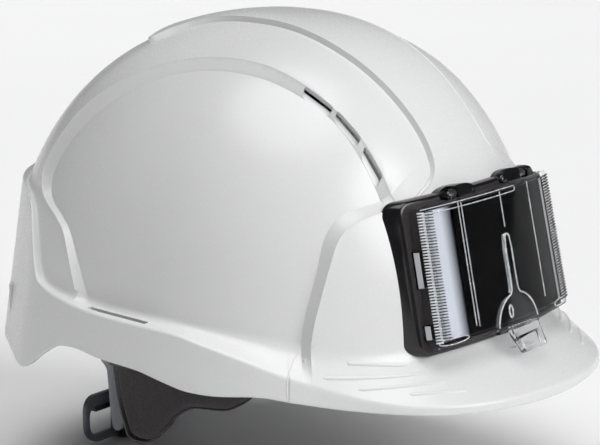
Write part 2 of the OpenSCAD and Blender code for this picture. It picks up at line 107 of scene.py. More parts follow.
def catmull(points, step=2.0, closed=False):
    """Smooth curve through given points, sampled every step or so."""
    p = np.array(points, float)
    n = len(p)
    out = []
    last = n if closed else n - 1
    for i in range(last):
        if closed:
            a, b, c, d = p[(i - 1) % n], p[i], p[(i + 1) % n], p[(i + 2) % n]
        else:
            b, c = p[i], p[i + 1]
            a = p[i - 1] if i else 2 * b - c
            d = p[i + 2] if i + 2 < n else 2 * c - b
        k = max(2, int(np.linalg.norm(c - b) / step))
        for j in range(k):
            t = j / k
            out.append(0.5 * (2 * b + (c - a) * t + (2 * a - 5 * b + 4 * c - d) * t * t
                              + (3 * b - a - 3 * c + d) * t ** 3))
    if not closed:
        out.append(p[-1])
    return np.array(out)


def sst(a, b, x):
    t = np.clip((np.asarray(x, float) - a) / (b - a), 0, 1)
    return t * t * (3 - 2 * t)


def unit(v):
    return v / np.maximum(np.linalg.norm(v, axis=-1, keepdims=True), 1e-12)


# ------------------------------------------------------------ shell geometry
HW, FR, RE, HT, CY, WALL = 106.0, 114.0, 130.0, 140.0, 12.0, 3.0
PM, PN = 2.2, 2.26
RAISE, RECESS = 2.0, 2.6

FOOT_Z = [[0, 14], [31, 15], [41, 17], [49, 20], [65, 23], [85, 26], [102, 27], [113, 29],
          [120.5, 31], [127, 48], [132, 58], [139, 62], [150, 63], [180, 63]]
EDGE_Z = [[0, -2], [28, -1.5], [38, 1], [45, 5], [52, 9.5], [62, 16.5], [70, 21], [77, 24],
          [99, 26], [111, 28], [119.5, 31.5], [126, 50], [131, 61], [138, 65.5], [150, 67], [180, 67]]
LEDGE_W = [[0, 31], [16, 28.5], [26, 23.5], [34, 17], [41, 11.5], [48, 9], [60, 8], [77, 7],
           [92, 6.5], [110, 5.5], [121, 4.5], [130, 3.8], [180, 3.6]]
RIM_Z = [[0, -6], [20, -5.5], [40, -3.5], [52, -0.5], [58, 1], [68, 0], [73, 0.5], [79, 3],
         [86, 6], [97, 7.5], [104, 9], [109, 8], [115, 2], [120, -5], [124, -8], [130, -7],
         [138, -5], [150, -6], [180, -7]]
DRAFT = [[0, 0.05], [50, 0.06], [70, 0.1], [130, 0.14], [180, 0.14]]


def pol(p, r, z):
    a = np.radians(p)
    return np.stack([-r * np.sin(a), CY - r * np.cos(a), z + 0 * r], -1)


def r0(p):
    a = np.radians(p)
    c = np.cos(a)
    return 1 / ((np.abs(np.sin(a)) / HW) ** PM + (np.abs(c) / np.where(c > 0, FR, RE)) ** PM) ** (1 / PM)


def dr(p, z):
    return r0(p) * (1 - (np.maximum(z, 0) / HT) ** PN) ** (1 / PN)


def dome_n(q):
    b = np.where(q[..., 1] < CY, FR, RE)
    return unit(np.stack([q[..., 0] / HW ** 2, (q[..., 1] - CY) / b ** 2, q[..., 2] / HT ** 2], -1))


def dome_base(p, t):
    return pol(p, r0(p) * np.sin(t) ** (2 / PN), HT * np.cos(t) ** (2 / PN))


def to_dome(points):
    """Moves points along lines from the middle of the dome onto its surface."""
    c = np.array([0, CY, 10.0])
    d = np.array(points, float) - c
    lo, hi = np.full(len(d), 0.3), np.full(len(d), 3.0)
    for _ in range(40):
        m = (lo + hi) / 2
        q = c + d * m[:, None]
        b = np.where(q[:, 1] < CY, FR, RE)
        r = ((np.abs(q[:, 0]) / HW) ** PM + (np.abs(q[:, 1] - CY) / b) ** PM) ** (1 / PM)
        out = r ** PN + (np.maximum(q[:, 2], 0) / HT) ** PN > 1
        hi = np.where(out, m, hi)
        lo = np.where(out, lo, m)
    return c + d * hi[:, None]


# outlines on the right half, x taken as positive outwards
PANEL_O = [[45, -96, 40], [44, -90, 62], [45, -78, 77], [45, -72, 88], [45, -62, 101], [46, -50, 111], [47, -31, 122],
           [48, -10, 128], [51, 18, 128], [57, 45, 121], [63, 73, 104], [68, 83, 92], [71, 87.5, 83], [74, 89, 74],
           [82, 83, 66], [91, 67, 59]]
PANEL_O2 = [[91, 67, 59], [96, 58, 52], [102, 45, 27], [104, 40, 8]]
PANEL_I = [[51, -90, 45], [50, -84, 60], [48, -73, 77], [48, -64, 92], [48, -51, 106], [50, -35, 116], [52, -13, 123],
           [55, 15, 123], [61, 42, 116], [67, 63, 101], [71, 75, 88], [74, 80, 80], [77, 82, 73], [82, 79, 66],
           [90, 63, 57]]
PANEL_I2 = [[90, 63, 57], [94, 55, 51], [101, 40, 27], [102, 35, 8]]
PAD_O = [[86, -60, 8], [85, -61, 21], [83, -61, 32], [77, -62.5, 50], [72, -63.5, 65], [65, -67, 73.5], [50, -75, 77.5],
         [42, -77, 81], [32, -79, 88], [0, -80, 96]]
PAD_I = [[85, -65, 8], [84, -65, 20], [82, -66, 32], [75, -67.5, 52], [69, -69, 65], [61, -74, 71.5], [50, -80, 74],
         [40, -84, 75], [30, -87, 76], [0, -92, 78]]
RIDGE = [[0, 63, 128], [33, 62, 126], [27, 52, 133], [22, 44, 136], [18.5, 29, 139], [19.5, 0, 139], [21.5, -29, 132],
         [21, -52, 120], [20, -71, 102], [21.5, -79, 89], [27, -82, 82], [36, -82, 77], [45, -84, 70], [45, -95, 50]]
PAD_SOFT = [[78, -75, 8], [76, -77, 22], [74, -77, 36], [68, -78, 52], [60, -80, 64], [52, -84, 70]]


class Outline:
    """Signed distance to an outline on the dome's right half, mirrored."""

    def __init__(self, pieces, closing, chart, flip=1.0):
        self.line = np.concatenate([to_dome(catmull(p, 2.5)) for p in pieces])
        self.chart = chart
        self.poly = np.concatenate([self.in_chart(self.line), np.array(closing, float)])
        self.flip = flip

    def in_chart(self, q):
        if self.chart == "side":
            x = np.maximum(np.abs(q[:, 0]), 2.0)
            return np.stack([(q[:, 1] - CY) / x, (q[:, 2] - 10) / x], -1)
        if self.chart == "front":
            y = np.maximum(CY - q[:, 1], 2.0)
            return np.stack([np.abs(q[:, 0]) / y, (q[:, 2] - 10) / y], -1)
        return np.stack([np.abs(q[:, 0]), q[:, 1]], -1)

    def __call__(self, q):
        m = q * np.array([1, 1, 1.0])
        m[:, 0] = np.abs(m[:, 0])
        a, b = self.line[:-1], self.line[1:]
        ab = b - a
        ll = np.maximum((ab ** 2).sum(-1), 1e-9)
        # far points need no exact distance
        c = self.line[::3]
        best = np.sqrt(np.maximum((m ** 2).sum(-1)[:, None] - 2 * m @ c.T + (c ** 2).sum(-1)[None], 0)).min(1)
        near = np.nonzero(best < 16)[0]
        for s in range(0, len(near), 4000):
            k = near[s:s + 4000]
            w = m[k][:, None, :] - a[None]
            t = np.clip((w * ab[None]).sum(-1) / ll[None], 0, 1)
            best[k] = np.linalg.norm(w - t[..., None] * ab[None], axis=-1).min(1)
        c = self.in_chart(m)
        inside = np.zeros(len(m), bool)
        p = self.poly
        for i in range(len(p)):
            (x1, y1), (x2, y2) = p[i], p[(i + 1) % len(p)]
            if y1 == y2:
                continue
            hit = ((c[:, 1] > min(y1, y2)) & (c[:, 1] <= max(y1, y2))
                   & (c[:, 0] < x1 + (c[:, 1] - y1) / (y2 - y1) * (x2 - x1)))
            inside ^= hit
        return np.where(inside, best, -best) * self.flip


panel_o = Outline([PANEL_O, PANEL_O2], [[0.3, -0.5], [-1.0, -1.0], [-3.0, -1.0]], "side")
panel_i = Outline([PANEL_I, PANEL_I2], [[0.2, -0.5], [-1.0, -1.0], [-2.6, -1.0]], "side", -1.0)
pad_o = Outline([PAD_O], [[0, -0.3], [1.5, -0.3]], "front")
pad_i = Outline([PAD_I], [[0, -0.3], [1.4, -0.3]], "front", -1.0)
ridge_o = Outline([RIDGE], [[0, -110]], "top")


def ramp(b, r):
    """0 below 0, 1 above 1, straight between, rounded within r of each end."""
    b = np.clip(b, -r, 1 + r)
    lo = np.where(b < r, (b + r) ** 2 / (4 * r), b)
    return np.where(b > 1 - r, 1 - (1 + r - b) ** 2 / (4 * r), lo)


PANEL_R, PAD_R, RIDGE_R, RIDGE_W = 0.08, 0.07, 0.18, 1.1


def fields(q):
    """Panel, pad and ridge bevel positions: 0 at one edge, 1 at the other."""
    so, si = panel_o(q), panel_i(q)
    panel = so / np.maximum(so + si, 1.2)
    po, pi = pad_o(q), pad_i(q)
    pad = po / np.maximum(po + pi, 1.2)
    ridge = ridge_o(q) / RIDGE_W
    # the panels stop short of the crown and never reach the far quarter
    panel = np.where(np.abs(q[:, 0]) < 30, -2.0, panel)
    pad = np.where(q[:, 1] > 0, -2.0, pad)
    ridge = np.where((q[:, 2] < 60) | (q[:, 1] > 90), -2.0, ridge)
    return np.clip(np.stack([panel, pad, ridge], -1), -2.0, 3.0)


def height(f):
    h = -RECESS * ramp(f[:, 0], PANEL_R)
    m = ramp(f[:, 1], PAD_R)
    h = h * (1 - m) + RAISE * m
    k = ramp(f[:, 2], RIDGE_R)
    h = np.maximum(h, RAISE * k + np.minimum(h, 0) * (1 - k))
    # thin lips and grooves that run along the steps

    def crease(b, at, r):
        return np.maximum(0.0, 1 - np.abs(b - at) / r)
    h = h + 0.22 * crease(f[:, 0], 0.0, PANEL_R) - 0.12 * crease(f[:, 0], 1.0, PANEL_R)
    h = h + 0.15 * crease(f[:, 1], 1.0, PAD_R) - 0.12 * crease(f[:, 1], 0.0, PAD_R)
    return h + 0.28 * crease(f[:, 2], 1.0, RIDGE_R) - 0.35 * crease(f[:, 2], 0.0, RIDGE_R)


ND, NI = 74, 26
# rows after the dome: fillet, ledge, outer edge, skirt, rim, inside, inner ledge
FIL, LED, EDG, SKI, RIM, INS, INL = 6, 7, 5, 9, 6, 6, 6
EXTRA = FIL + LED + EDG + SKI + RIM + INS + INL
ROWS = ND + EXTRA + NI


def bez(a, b, c, n, last=True):
    k = n if last else n + 1
    t = [(i + 1) / k for i in range(n)]
    return [a * (1 - s) ** 2 + 2 * b * s * (1 - s) + c * s * s for s in t]


def line(a, b, n):
    return [a + (b - a) * (i + 1) / n for i in range(n)]


def theta_foot(p, z):
    return np.arccos(np.clip((z / HT) ** (PN / 2), -1, 1))


def stations(p):
    a = np.abs((p + 180) % 360 - 180)
    fz, ez, w, rz, dd = (pchip(t, a) for t in (FOOT_Z, EDGE_Z, LEDGE_W, RIM_Z, DRAFT))
    step = 0.45 * (1 - sst(51.8, 52.2, a))        # the peak stands a little proud of the sides
    er = dr(p, ez) + w + step
    rr = er + dd * (ez - rz)
    return a, fz, ez + step * 0.6, er, rz, rr, w


def dome_angle(p, k, n=ND, fillet=3.2):
    """Polar angle of dome row k of n, the last row being where the fillet starts."""
    a, fz, ez, er, rz, rr, w = stations(p)
    tf = theta_foot(p, fz)
    t1 = tf - fillet / (HT * 0.98)
    return t1 * (k / n) ** 1.06, tf


def displaced(p, t, depth):
    q = dome_base(p, t)
    h = height(fields(q))
    return q + dome_n(q) * (h - depth)[:, None]


def extra_rows(p):
    """Points of every row below the dome, for each bearing in p."""
    a, fz, ez, er, rz, rr, w = stations(p)
    t1, tf = dome_angle(p, np.full_like(p, ND))
    d1 = displaced(p, t1, 0.0)
    foot = displaced(p, tf, 0.0)
    ones = np.ones_like(p)

    def ledge(f):
        g = np.asarray(f)
        rad0 = np.hypot(foot[:, 0], foot[:, 1] - CY)
        r = rad0 + (er - rad0) * g
        z = foot[:, 2] + (ez - foot[:, 2]) * g ** 0.8
        return pol(p, r, z)

    ln = np.hypot(er - np.hypot(foot[:, 0], foot[:, 1] - CY), ez - foot[:, 2])
    f1 = np.minimum(3.4 / ln, 0.42)
    f2 = 1 - np.minimum(1.3 / ln, 0.3)
    edge = pol(p, er, ez)
    rim = pol(p, rr, rz)
    drop = np.maximum(ez - rz, 2.0)
    s1 = np.minimum(1.4 / drop, 0.3)[:, None]
    rows = bez(d1, foot, ledge(f1), FIL)
    rows += [ledge(f1 + (f2 - f1) * (i + 1) / LED) for i in range(LED)]
    sk0 = edge + (rim - edge) * s1
    rows += bez(ledge(f2), edge, sk0, EDG)
    out_r = unit(edge - pol(p, er * 0, ez))
    s2 = np.minimum(1.2 / drop, 0.3)[:, None]
    sk1 = rim + (edge - rim) * s2
    rows += line(sk0, sk1, SKI)
    inner_rim = pol(p, rr - WALL + 0.3, rz)
    rows += bez(sk1, rim, rim + (inner_rim - rim) * 0.45, 3)
    in_edge = pol(p, er - WALL, ez - WALL)
    deep = np.maximum((ez - WALL) - rz, 0.6)[:, None]
    up = unit(in_edge - inner_rim)
    rows += bez(rim + (inner_rim - rim) * 0.55, inner_rim, inner_rim + up * np.minimum(1.1, deep * 0.3), 3)
    rows += line(rows[-1], in_edge, INS)
    # inner ledge back to the inner foot
    it = displaced(p, tf, WALL)
    rows += line(in_edge, it, INL)
    return rows


def surface(p, k):
    """Point on the closed skin at bearing p (degrees) and row k (may be fractional)."""
    out = np.zeros((len(p), 3))
    dome = k <= ND
    if dome.any():
        t, _ = dome_angle(p[dome], k[dome])
        out[dome] = displaced(p[dome], t, 0.0)
    inner = k >= ND + EXTRA
    if inner.any():
        pp = p[inner]
        kk = (ROWS - k[inner]) / NI
        _, tf = dome_angle(pp, np.full_like(pp, ND))
        out[inner] = displaced(pp, tf * kk ** 1.06, WALL)
    mid = ~dome & ~inner
    if mid.any():
        pp, kk = p[mid], k[mid] - ND
        t1, _ = dome_angle(pp, np.full_like(pp, ND))
        rows = np.stack([displaced(pp, t1, 0.0)] + extra_rows(pp), 1)
        i = np.clip(np.floor(kk).astype(int), 0, EXTRA - 1)
        f = (kk - i)[:, None]
        n = np.arange(len(pp))
        out[mid] = rows[n, i] * (1 - f) + rows[n, i + 1] * f
    return out


def skin_fields(p, k):
    """Bevel positions for a point of the skin; below the dome they are the foot's."""
    t = np.zeros(len(p))
    tt, tf = dome_angle(p, np.minimum(k, ND))
    t = np.where(k <= ND, tt, tf)
    inner = k > ND + EXTRA
    t = np.where(inner, tf * (np.maximum(ROWS - k, 0) / NI) ** 1.06, t)
    return fields(dome_base(p, t))


def cut_along(V, T, F, locked, col, value):
    """Adds mesh edges where a field has a value, so that the bevels are crisp."""
    g = F[:, col] - value
    e = np.sort(np.concatenate([T[:, [0, 1]], T[:, [1, 2]], T[:, [2, 0]]]), 1)
    e = np.unique(e, axis=0)
    near = np.abs(F[e[:, 0], col]) < 1.95
    far = np.abs(F[e[:, 1], col]) < 1.95
    cross = (g[e[:, 0]] * g[e[:, 1]] < 0) & (near | far)
    c = e[cross]
    t = g[c[:, 0]] / (g[c[:, 0]] - g[c[:, 1]])
    # a vertex very close to the line is moved onto it
    zero = np.zeros(len(V), bool)
    for end in (0, 1):
        tt = t if end == 0 else 1 - t
        for i in np.nonzero(tt < 0.14)[0]:
            v = c[i, end]
            if locked[v] or zero[v]:
                continue
            w = c[i, 1 - end]
            V[v] = V[v] + (V[w] - V[v]) * tt[i]
            zero[v] = True
    zi = np.nonzero(zero)[0]
    if len(zi):
        F[zi] = skin_fields(V[zi, 0], V[zi, 1])
        locked[zi] = True
    g = F[:, col] - value
    s = np.sign(g).astype(int)
    s[s == 0] = 1
    s[zi] = 0
    cross = (s[e[:, 0]] * s[e[:, 1]] < 0) & (near | far)
    c = e[cross]
    a, b = V[c[:, 0]].copy(), V[c[:, 1]].copy()
    ga, gb = g[c[:, 0]].copy(), g[c[:, 1]].copy()
    m = a + (b - a) * (ga / (ga - gb))[:, None]
    fm = skin_fields(m[:, 0], m[:, 1])
    for _ in range(2):
        gm = fm[:, col] - value
        same = gm * ga > 0
        a = np.where(same[:, None], m, a)
        ga = np.where(same, gm, ga)
        b = np.where(same[:, None], b, m)
        gb = np.where(same, gb, gm)
        w = np.clip(ga / np.where(ga - gb == 0, 1, ga - gb), 0.02, 0.98)
        m = a + (b - a) * w[:, None]
        fm = skin_fields(m[:, 0], m[:, 1])
    n0 = len(V)
    V = np.concatenate([V, m])
    F = np.concatenate([F, fm])
    locked = np.concatenate([locked, np.ones(len(m), bool)])
    key = {(int(x), int(y)): n0 + i for i, (x, y) in enumerate(c)}
    st = s[T]
    cut = ((st[:, 0] * st[:, 1] < 0) | (st[:, 1] * st[:, 2] < 0) | (st[:, 2] * st[:, 0] < 0))
    keep = [T[~cut]]
    new = []

    def mid(x, y):
        return key.get((min(x, y), max(x, y)))

    for tri in T[cut]:
        tri = [int(x) for x in tri]
        ms = [mid(tri[i], tri[(i + 1) % 3]) for i in range(3)]
        count = sum(x is not None for x in ms)
        if count == 2:
            i = [i for i in range(3) if ms[i] is None][0]       # edge i..i+1 uncut, apex is i+2
            b0, c0, a0 = tri[i], tri[(i + 1) % 3], tri[(i + 2) % 3]
            q, r = ms[(i + 1) % 3], ms[(i + 2) % 3]              # on c0-a0 and a0-b0
            new += [[a0, r, q], [r, b0, c0], [r, c0, q]]
        elif count == 1:
            i = [i for i in range(3) if ms[i] is not None][0]
            x, y, z = tri[i], tri[(i + 1) % 3], tri[(i + 2) % 3]
            new += [[x, ms[i], z], [ms[i], y, z]]
        else:
            new.append(tri)
    if new:
        keep.append(np.array(new))
    return V, np.concatenate(keep), F, locked


def weld(V, P, T):
    """Closes the skin at the back and at the poles and drops flat triangles."""
    pole = (V[:, 1] == 0) | (V[:, 1] == ROWS)
    p = np.where(pole, 0, np.where(V[:, 0] >= 180, -180, V[:, 0]))
    keys = np.round(np.stack([p, V[:, 1]], -1) * 1e5).astype(np.int64)
    _, first, inv = np.unique(keys, axis=0, return_index=True, return_inverse=True)
    inv = inv.reshape(-1)
    T = inv[T]
    ok = (T[:, 0] != T[:, 1]) & (T[:, 1] != T[:, 2]) & (T[:, 2] != T[:, 0])
    return P[first], T[ok]


def shell_skin():
    bearings = np.unique(np.round(np.concatenate([
        np.linspace(-180, 180, 241), [-52.3, -52.05, -51.8, 51.8, 52.05, 52.3],
        np.linspace(118.5, 133.5, 16), -np.linspace(118.5, 133.5, 16)]), 3))
    rows = np.arange(ROWS + 1)
    nb, nr = len(bearings), len(rows)
    V = np.stack([np.tile(bearings, nr), np.repeat(rows, nb)], -1).astype(float)
    idx = np.arange(nb * nr).reshape(nr, nb)
    a, b = idx[:-1, :-1].ravel(), idx[:-1, 1:].ravel()
    c, d = idx[1:, 1:].ravel(), idx[1:, :-1].ravel()
    T = np.concatenate([np.stack([a, c, d], -1), np.stack([a, b, c], -1)])
    locked = (V[:, 0] <= -180) | (V[:, 0] >= 180) | (V[:, 1] == 0) | (V[:, 1] == ROWS)
    locked |= (V[:, 1] >= ND)
    F = skin_fields(V[:, 0], V[:, 1])
    for col, r in ((0, PANEL_R), (1, PAD_R), (2, RIDGE_R)):
        for value in (-r, 0.0, r, 1 - r, 1.0, 1 + r):
            V, T, F, locked = cut_along(V, T, F, locked, col, value)
    P = surface(V[:, 0], V[:, 1])
    P[V[:, 1] == 0] = [0, CY, HT + RAISE]
    P[V[:, 1] == ROWS] = [0, CY, HT + RAISE - WALL]
    return weld(V, P, T)


# ------------------------------------------------------------ looks
def nodes_of(name):
    m = bpy.data.materials.new(name)
    m.use_nodes = True
    nt = m.node_tree
    nt.nodes.clear()
    out = nt.nodes.new("ShaderNodeOutputMaterial")
    bsdf = nt.nodes.new("ShaderNodeBsdfPrincipled")
    nt.links.new(bsdf.outputs[0], out.inputs[0])
    return m, nt, bsdf


def noise(nt, scale, detail=3.0, rough=0.55, stretch=None, distortion=0.0):
    tc = nt.nodes.new("ShaderNodeTexCoord")
    src = tc.outputs["Object"]
    if stretch:
        mp = nt.nodes.new("ShaderNodeMapping")
        mp.inputs["Scale"].default_value = stretch
        nt.links.new(src, mp.inputs["Vector"])
        src = mp.outputs["Vector"]
    n = nt.nodes.new("ShaderNodeTexNoise")
    n.inputs["Scale"].default_value = scale
    n.inputs["Detail"].default_value = detail
    n.inputs["Roughness"].default_value = rough
    n.inputs["Distortion"].default_value = distortion
    nt.links.new(src, n.inputs["Vector"])
    return n.outputs["Fac"]


def spread(nt, fac, lo, hi, a=0.3, b=0.7):
    r = nt.nodes.new("ShaderNodeMapRange")
    r.inputs["From Min"].default_value = a
    r.inputs["From Max"].default_value = b
    r.inputs["To Min"].default_value = lo
    r.inputs["To Max"].default_value = hi
    nt.links.new(fac, r.inputs["Value"])
    return r.outputs["Result"]


def two_colours(nt, fac, c1, c2):
    mx = nt.nodes.new("ShaderNodeMix")
    mx.data_type = "RGBA"
    mx.inputs["A"].default_value = (*c1, 1)
    mx.inputs["B"].default_value = (*c2, 1)
    nt.links.new(fac, mx.inputs["Factor"])
    return mx.outputs["Result"]


def bump(nt, bsdf, height, strength, distance, prior=None):
    b = nt.nodes.new("ShaderNodeBump")
    b.inputs["Strength"].default_value = strength
    b.inputs["Distance"].default_value = distance
    nt.links.new(height, b.inputs["Height"])
    if prior is not None:
        nt.links.new(prior, b.inputs["Normal"])
    nt.links.new(b.outputs[0], bsdf.inputs["Normal"])
    return b.outputs[0]


def plastic(name, c1, c2, rough, grain=900.0, grain_depth=0.00002, tone=40.0, rough_var=0.05,
            coat=0.0, spec=0.5, metal=0.0):
    """Moulded plastic: slow tone drift, fine surface grain, uneven gloss."""
    m, nt, b = nodes_of(name)
    nt.links.new(two_colours(nt, spread(nt, noise(nt, tone, 4.0), 0, 1), c1, c2), b.inputs["Base Color"])
    nt.links.new(spread(nt, noise(nt, tone * 3.1, 5.0, 0.6), rough - rough_var, rough + rough_var), b.inputs["Roughness"])
    b.inputs["Specular IOR Level"].default_value = spec
    b.inputs["Metallic"].default_value = metal
    b.inputs["Coat Weight"].default_value = coat
    b.inputs["Coat Roughness"].default_value = 0.06
    bump(nt, b, noise(nt, grain, 3.0), 0.35, grain_depth)
    return m


def suede(name, c1, c2):
    """Napped facing: fine mottled nap with a soft sheen."""
    m, nt, b = nodes_of(name)
    nt.links.new(two_colours(nt, spread(nt, noise(nt, 1500.0, 6.0, 0.7), 0, 1, 0.35, 0.65), c1, c2), b.inputs["Base Color"])
    b.inputs["Roughness"].default_value = 0.93
    b.inputs["Sheen Weight"].default_value = 0.35
    b.inputs["Sheen Roughness"].default_value = 0.4
    b.inputs["Sheen Tint"].default_value = (0.8, 0.75, 0.75, 1)
    first = bump(nt, b, noise(nt, 2600.0, 4.0, 0.7), 0.6, 0.00025)
    bump(nt, b, noise(nt, 90.0, 3.0), 0.2, 0.0006, first)
    return m


def woven(name, c1, c2, pitch=0.0011, depth=0.00025):
    """Flat webbing or knit: crossed threads from two waves."""
    m, nt, b = nodes_of(name)
    tc = nt.nodes.new("ShaderNodeTexCoord")
    waves = []
    for axis in ("X", "Y"):
        w = nt.nodes.new("ShaderNodeTexWave")
        w.bands_direction = axis
        w.inputs["Scale"].default_value = 0.314 / pitch
        w.inputs["Distortion"].default_value = 0.25
        w.inputs["Detail"].default_value = 1.0
        nt.links.new(tc.outputs["UV"], w.inputs["Vector"])
        waves.append(w.outputs["Fac"])
    mul = nt.nodes.new("ShaderNodeMath")
    mul.operation = "MULTIPLY"
    nt.links.new(waves[0], mul.inputs[0])
    nt.links.new(waves[1], mul.inputs[1])
    nt.links.new(two_colours(nt, mul.outputs[0], c1, c2), b.inputs["Base Color"])
    b.inputs["Roughness"].default_value = 0.82
    b.inputs["Sheen Weight"].default_value = 0.2
    first = bump(nt, b, mul.outputs[0], 0.7, depth)
    bump(nt, b, noise(nt, 1800.0, 4.0), 0.3, 0.0001, first)
    return m


def knit(name, c1, c2, cell=0.0016):
    """Perforated foam-backed cloth or leather: a dimple pattern over a fine grain."""
    m, nt, b = nodes_of(name)
    tc = nt.nodes.new("ShaderNodeTexCoord")
    v = nt.nodes.new("ShaderNodeTexVoronoi")
    v.inputs["Scale"].default_value = 1.0 / cell
    v.inputs["Randomness"].default_value = 0.25
    nt.links.new(tc.outputs["Object"], v.inputs["Vector"])
    nt.links.new(two_colours(nt, spread(nt, v.outputs["Distance"], 0, 1, 0.1, 0.5), c1, c2), b.inputs["Base Color"])
    b.inputs["Roughness"].default_value = 0.75
    b.inputs["Sheen Weight"].default_value = 0.15
    first = bump(nt, b, v.outputs["Distance"], 0.5, 0.0003)
    bump(nt, b, noise(nt, 2200.0, 4.0), 0.35, 0.0001, first)
    return m


def clear_plastic(name, tint, rough=0.04, ior=1.5, veil=1.0):
    m, nt, b = nodes_of(name)
    nt.links.new(two_colours(nt, spread(nt, noise(nt, 30.0), 0, 1), tint, tuple(min(1.0, c * 1.02) for c in tint)),
                 b.inputs["Base Color"])
    nt.links.new(spread(nt, noise(nt, 160.0, 5.0), rough * 0.5, rough * 1.6), b.inputs["Roughness"])
    b.inputs["Transmission Weight"].default_value = veil
    b.inputs["IOR"].default_value = ior
    bump(nt, b, noise(nt, 60.0, 2.0), 0.05, 0.0002)
    return m


def steel(name, c, rough=0.3):
    m, nt, b = nodes_of(name)
    nt.links.new(two_colours(nt, noise(nt, 300.0, 4.0), c, tuple(x * 0.75 for x in c)), b.inputs["Base Color"])
    b.inputs["Metallic"].default_value = 1.0
    b.inputs["Roughness"].default_value = rough
    bump(nt, b, noise(nt, 500.0, 3.0, 0.5, (1, 1, 12)), 0.3, 0.00005)
    return m


M = {
    "shell_white": plastic("shell_white", (0.705, 0.706, 0.71), (0.708, 0.709, 0.713), 0.27, 1400.0, 0.000006, 600.0, 0.008, coat=0.0, spec=0.5),
    "holder_black": plastic("holder_black", (0.006, 0.006, 0.007), (0.012, 0.011, 0.012), 0.16, 1800.0, 0.00001, 60.0, 0.04, spec=0.55),
    "rivet_black": plastic("rivet_black", (0.02, 0.02, 0.02), (0.035, 0.035, 0.035), 0.45),
    "insert_black": plastic("insert_black", (0.003, 0.003, 0.003), (0.005, 0.005, 0.005), 0.6, 2500.0, 0.00002, 80.0, 0.05, spec=0.04),
    "card_white": plastic("card_white", (0.74, 0.76, 0.79), (0.78, 0.80, 0.83), 0.35, 2500.0, 0.00001, 50.0),
    "clear_cover": clear_plastic("clear_cover", (0.97, 0.975, 0.98), 0.03, 1.08),
    "clear_latch": clear_plastic("clear_latch", (0.96, 0.97, 0.98), 0.04, 1.22),
    "pin_steel": steel("pin_steel", (0.55, 0.55, 0.57)),
    "harness_black": plastic("harness_black", (0.018, 0.018, 0.019), (0.03, 0.03, 0.031), 0.4, 1300.0, 0.00003),
    "webbing": woven("webbing", (0.02, 0.02, 0.022), (0.055, 0.055, 0.06)),
    "pad_black": knit("pad_black", (0.02, 0.02, 0.021), (0.04, 0.04, 0.042)),
    "band_black": plastic("band_black", (0.016, 0.016, 0.017), (0.026, 0.026, 0.027), 0.24, 1500.0, 0.00002, 50.0),
    "sweatband_black": knit("sweatband_black", (0.012, 0.012, 0.013), (0.03, 0.03, 0.031), 0.0024),
    "felt_grey": suede("felt_grey", (0.028, 0.025, 0.026), (0.07, 0.063, 0.065)),
    "cradle_grey": plastic("cradle_grey", (0.12, 0.13, 0.15), (0.15, 0.165, 0.19), 0.38, 1200.0, 0.00003),
    "loop_grey": plastic("loop_grey", (0.12, 0.13, 0.15), (0.16, 0.17, 0.195), 0.36, 1200.0, 0.00003),
    "spring_steel": steel("spring_steel", (0.68, 0.68, 0.7), 0.2),
}
for sub in frame["record"]["subparts"]:
    node = frame["nodes"].get(sub["node"])
    if node is not None and sub["material_slot"] in M:
        node.data.materials.clear()
        node.data.materials.append(M[sub["material_slot"]])


def piece(o, body, slot, replaces=()):
    o.data.materials.clear()
    o.data.materials.append(M[slot])
    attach(o, body)
    if replaces:
        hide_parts(*replaces)
    return o


def evaluated(o, keep_mods=False):
    """Replaces an object's mesh by the result of its modifiers."""
    dg = bpy.context.evaluated_depsgraph_get()
    me = bpy.data.meshes.new_from_object(o.evaluated_get(dg))
    o.modifiers.clear()
    o.data = me
    return o


def cut(o, cutter, solver="MANIFOLD", op="DIFFERENCE"):
    mod = o.modifiers.new("cut", "BOOLEAN")
    mod.operation = op
    mod.solver = solver
    mod.object = cutter
    evaluated(o)
    bpy.data.objects.remove(cutter)
    return o


def prism(name, section, direction, a, b):
    """Closed solid from a ring of points pushed along a direction from a to b."""
    s = np.array(section, float)
    d = np.array(direction, float)
    v = np.concatenate([s + d * a, s + d * b])
    n = len(s)
    f = [list(range(n))[::-1], list(range(n, 2 * n))]
    f += [[i, (i + 1) % n, n + (i + 1) % n, n + i] for i in range(n)]
    o = mesh_object(name, v, f, smooth=False)
    bm = bmesh.new()
    bm.from_mesh(o.data)
    bmesh.ops.recalc_face_normals(bm, faces=bm.faces)
    bmesh.ops.triangulate(bm, faces=bm.faces)
    bm.to_mesh(o.data)
    bm.free()
    return o


def soft_quad(corners, power=3.2, n=40):
    """Rounded four-sided outline through a superellipse laid over four corners."""
    out = []
    for i in range(n):
        a = 2 * math.pi * i / n
        c, s = math.cos(a), math.sin(a)
        u = (math.copysign(abs(c) ** (2 / power), c) + 1) / 2
        v = (math.copysign(abs(s) ** (2 / power), s) + 1) / 2
        k = [np.array(q, float) for q in corners]
        out.append(k[0] * (1 - u) * (1 - v) + k[1] * u * (1 - v) + k[2] * u * v + k[3] * (1 - u) * v)
    return np.array(out)


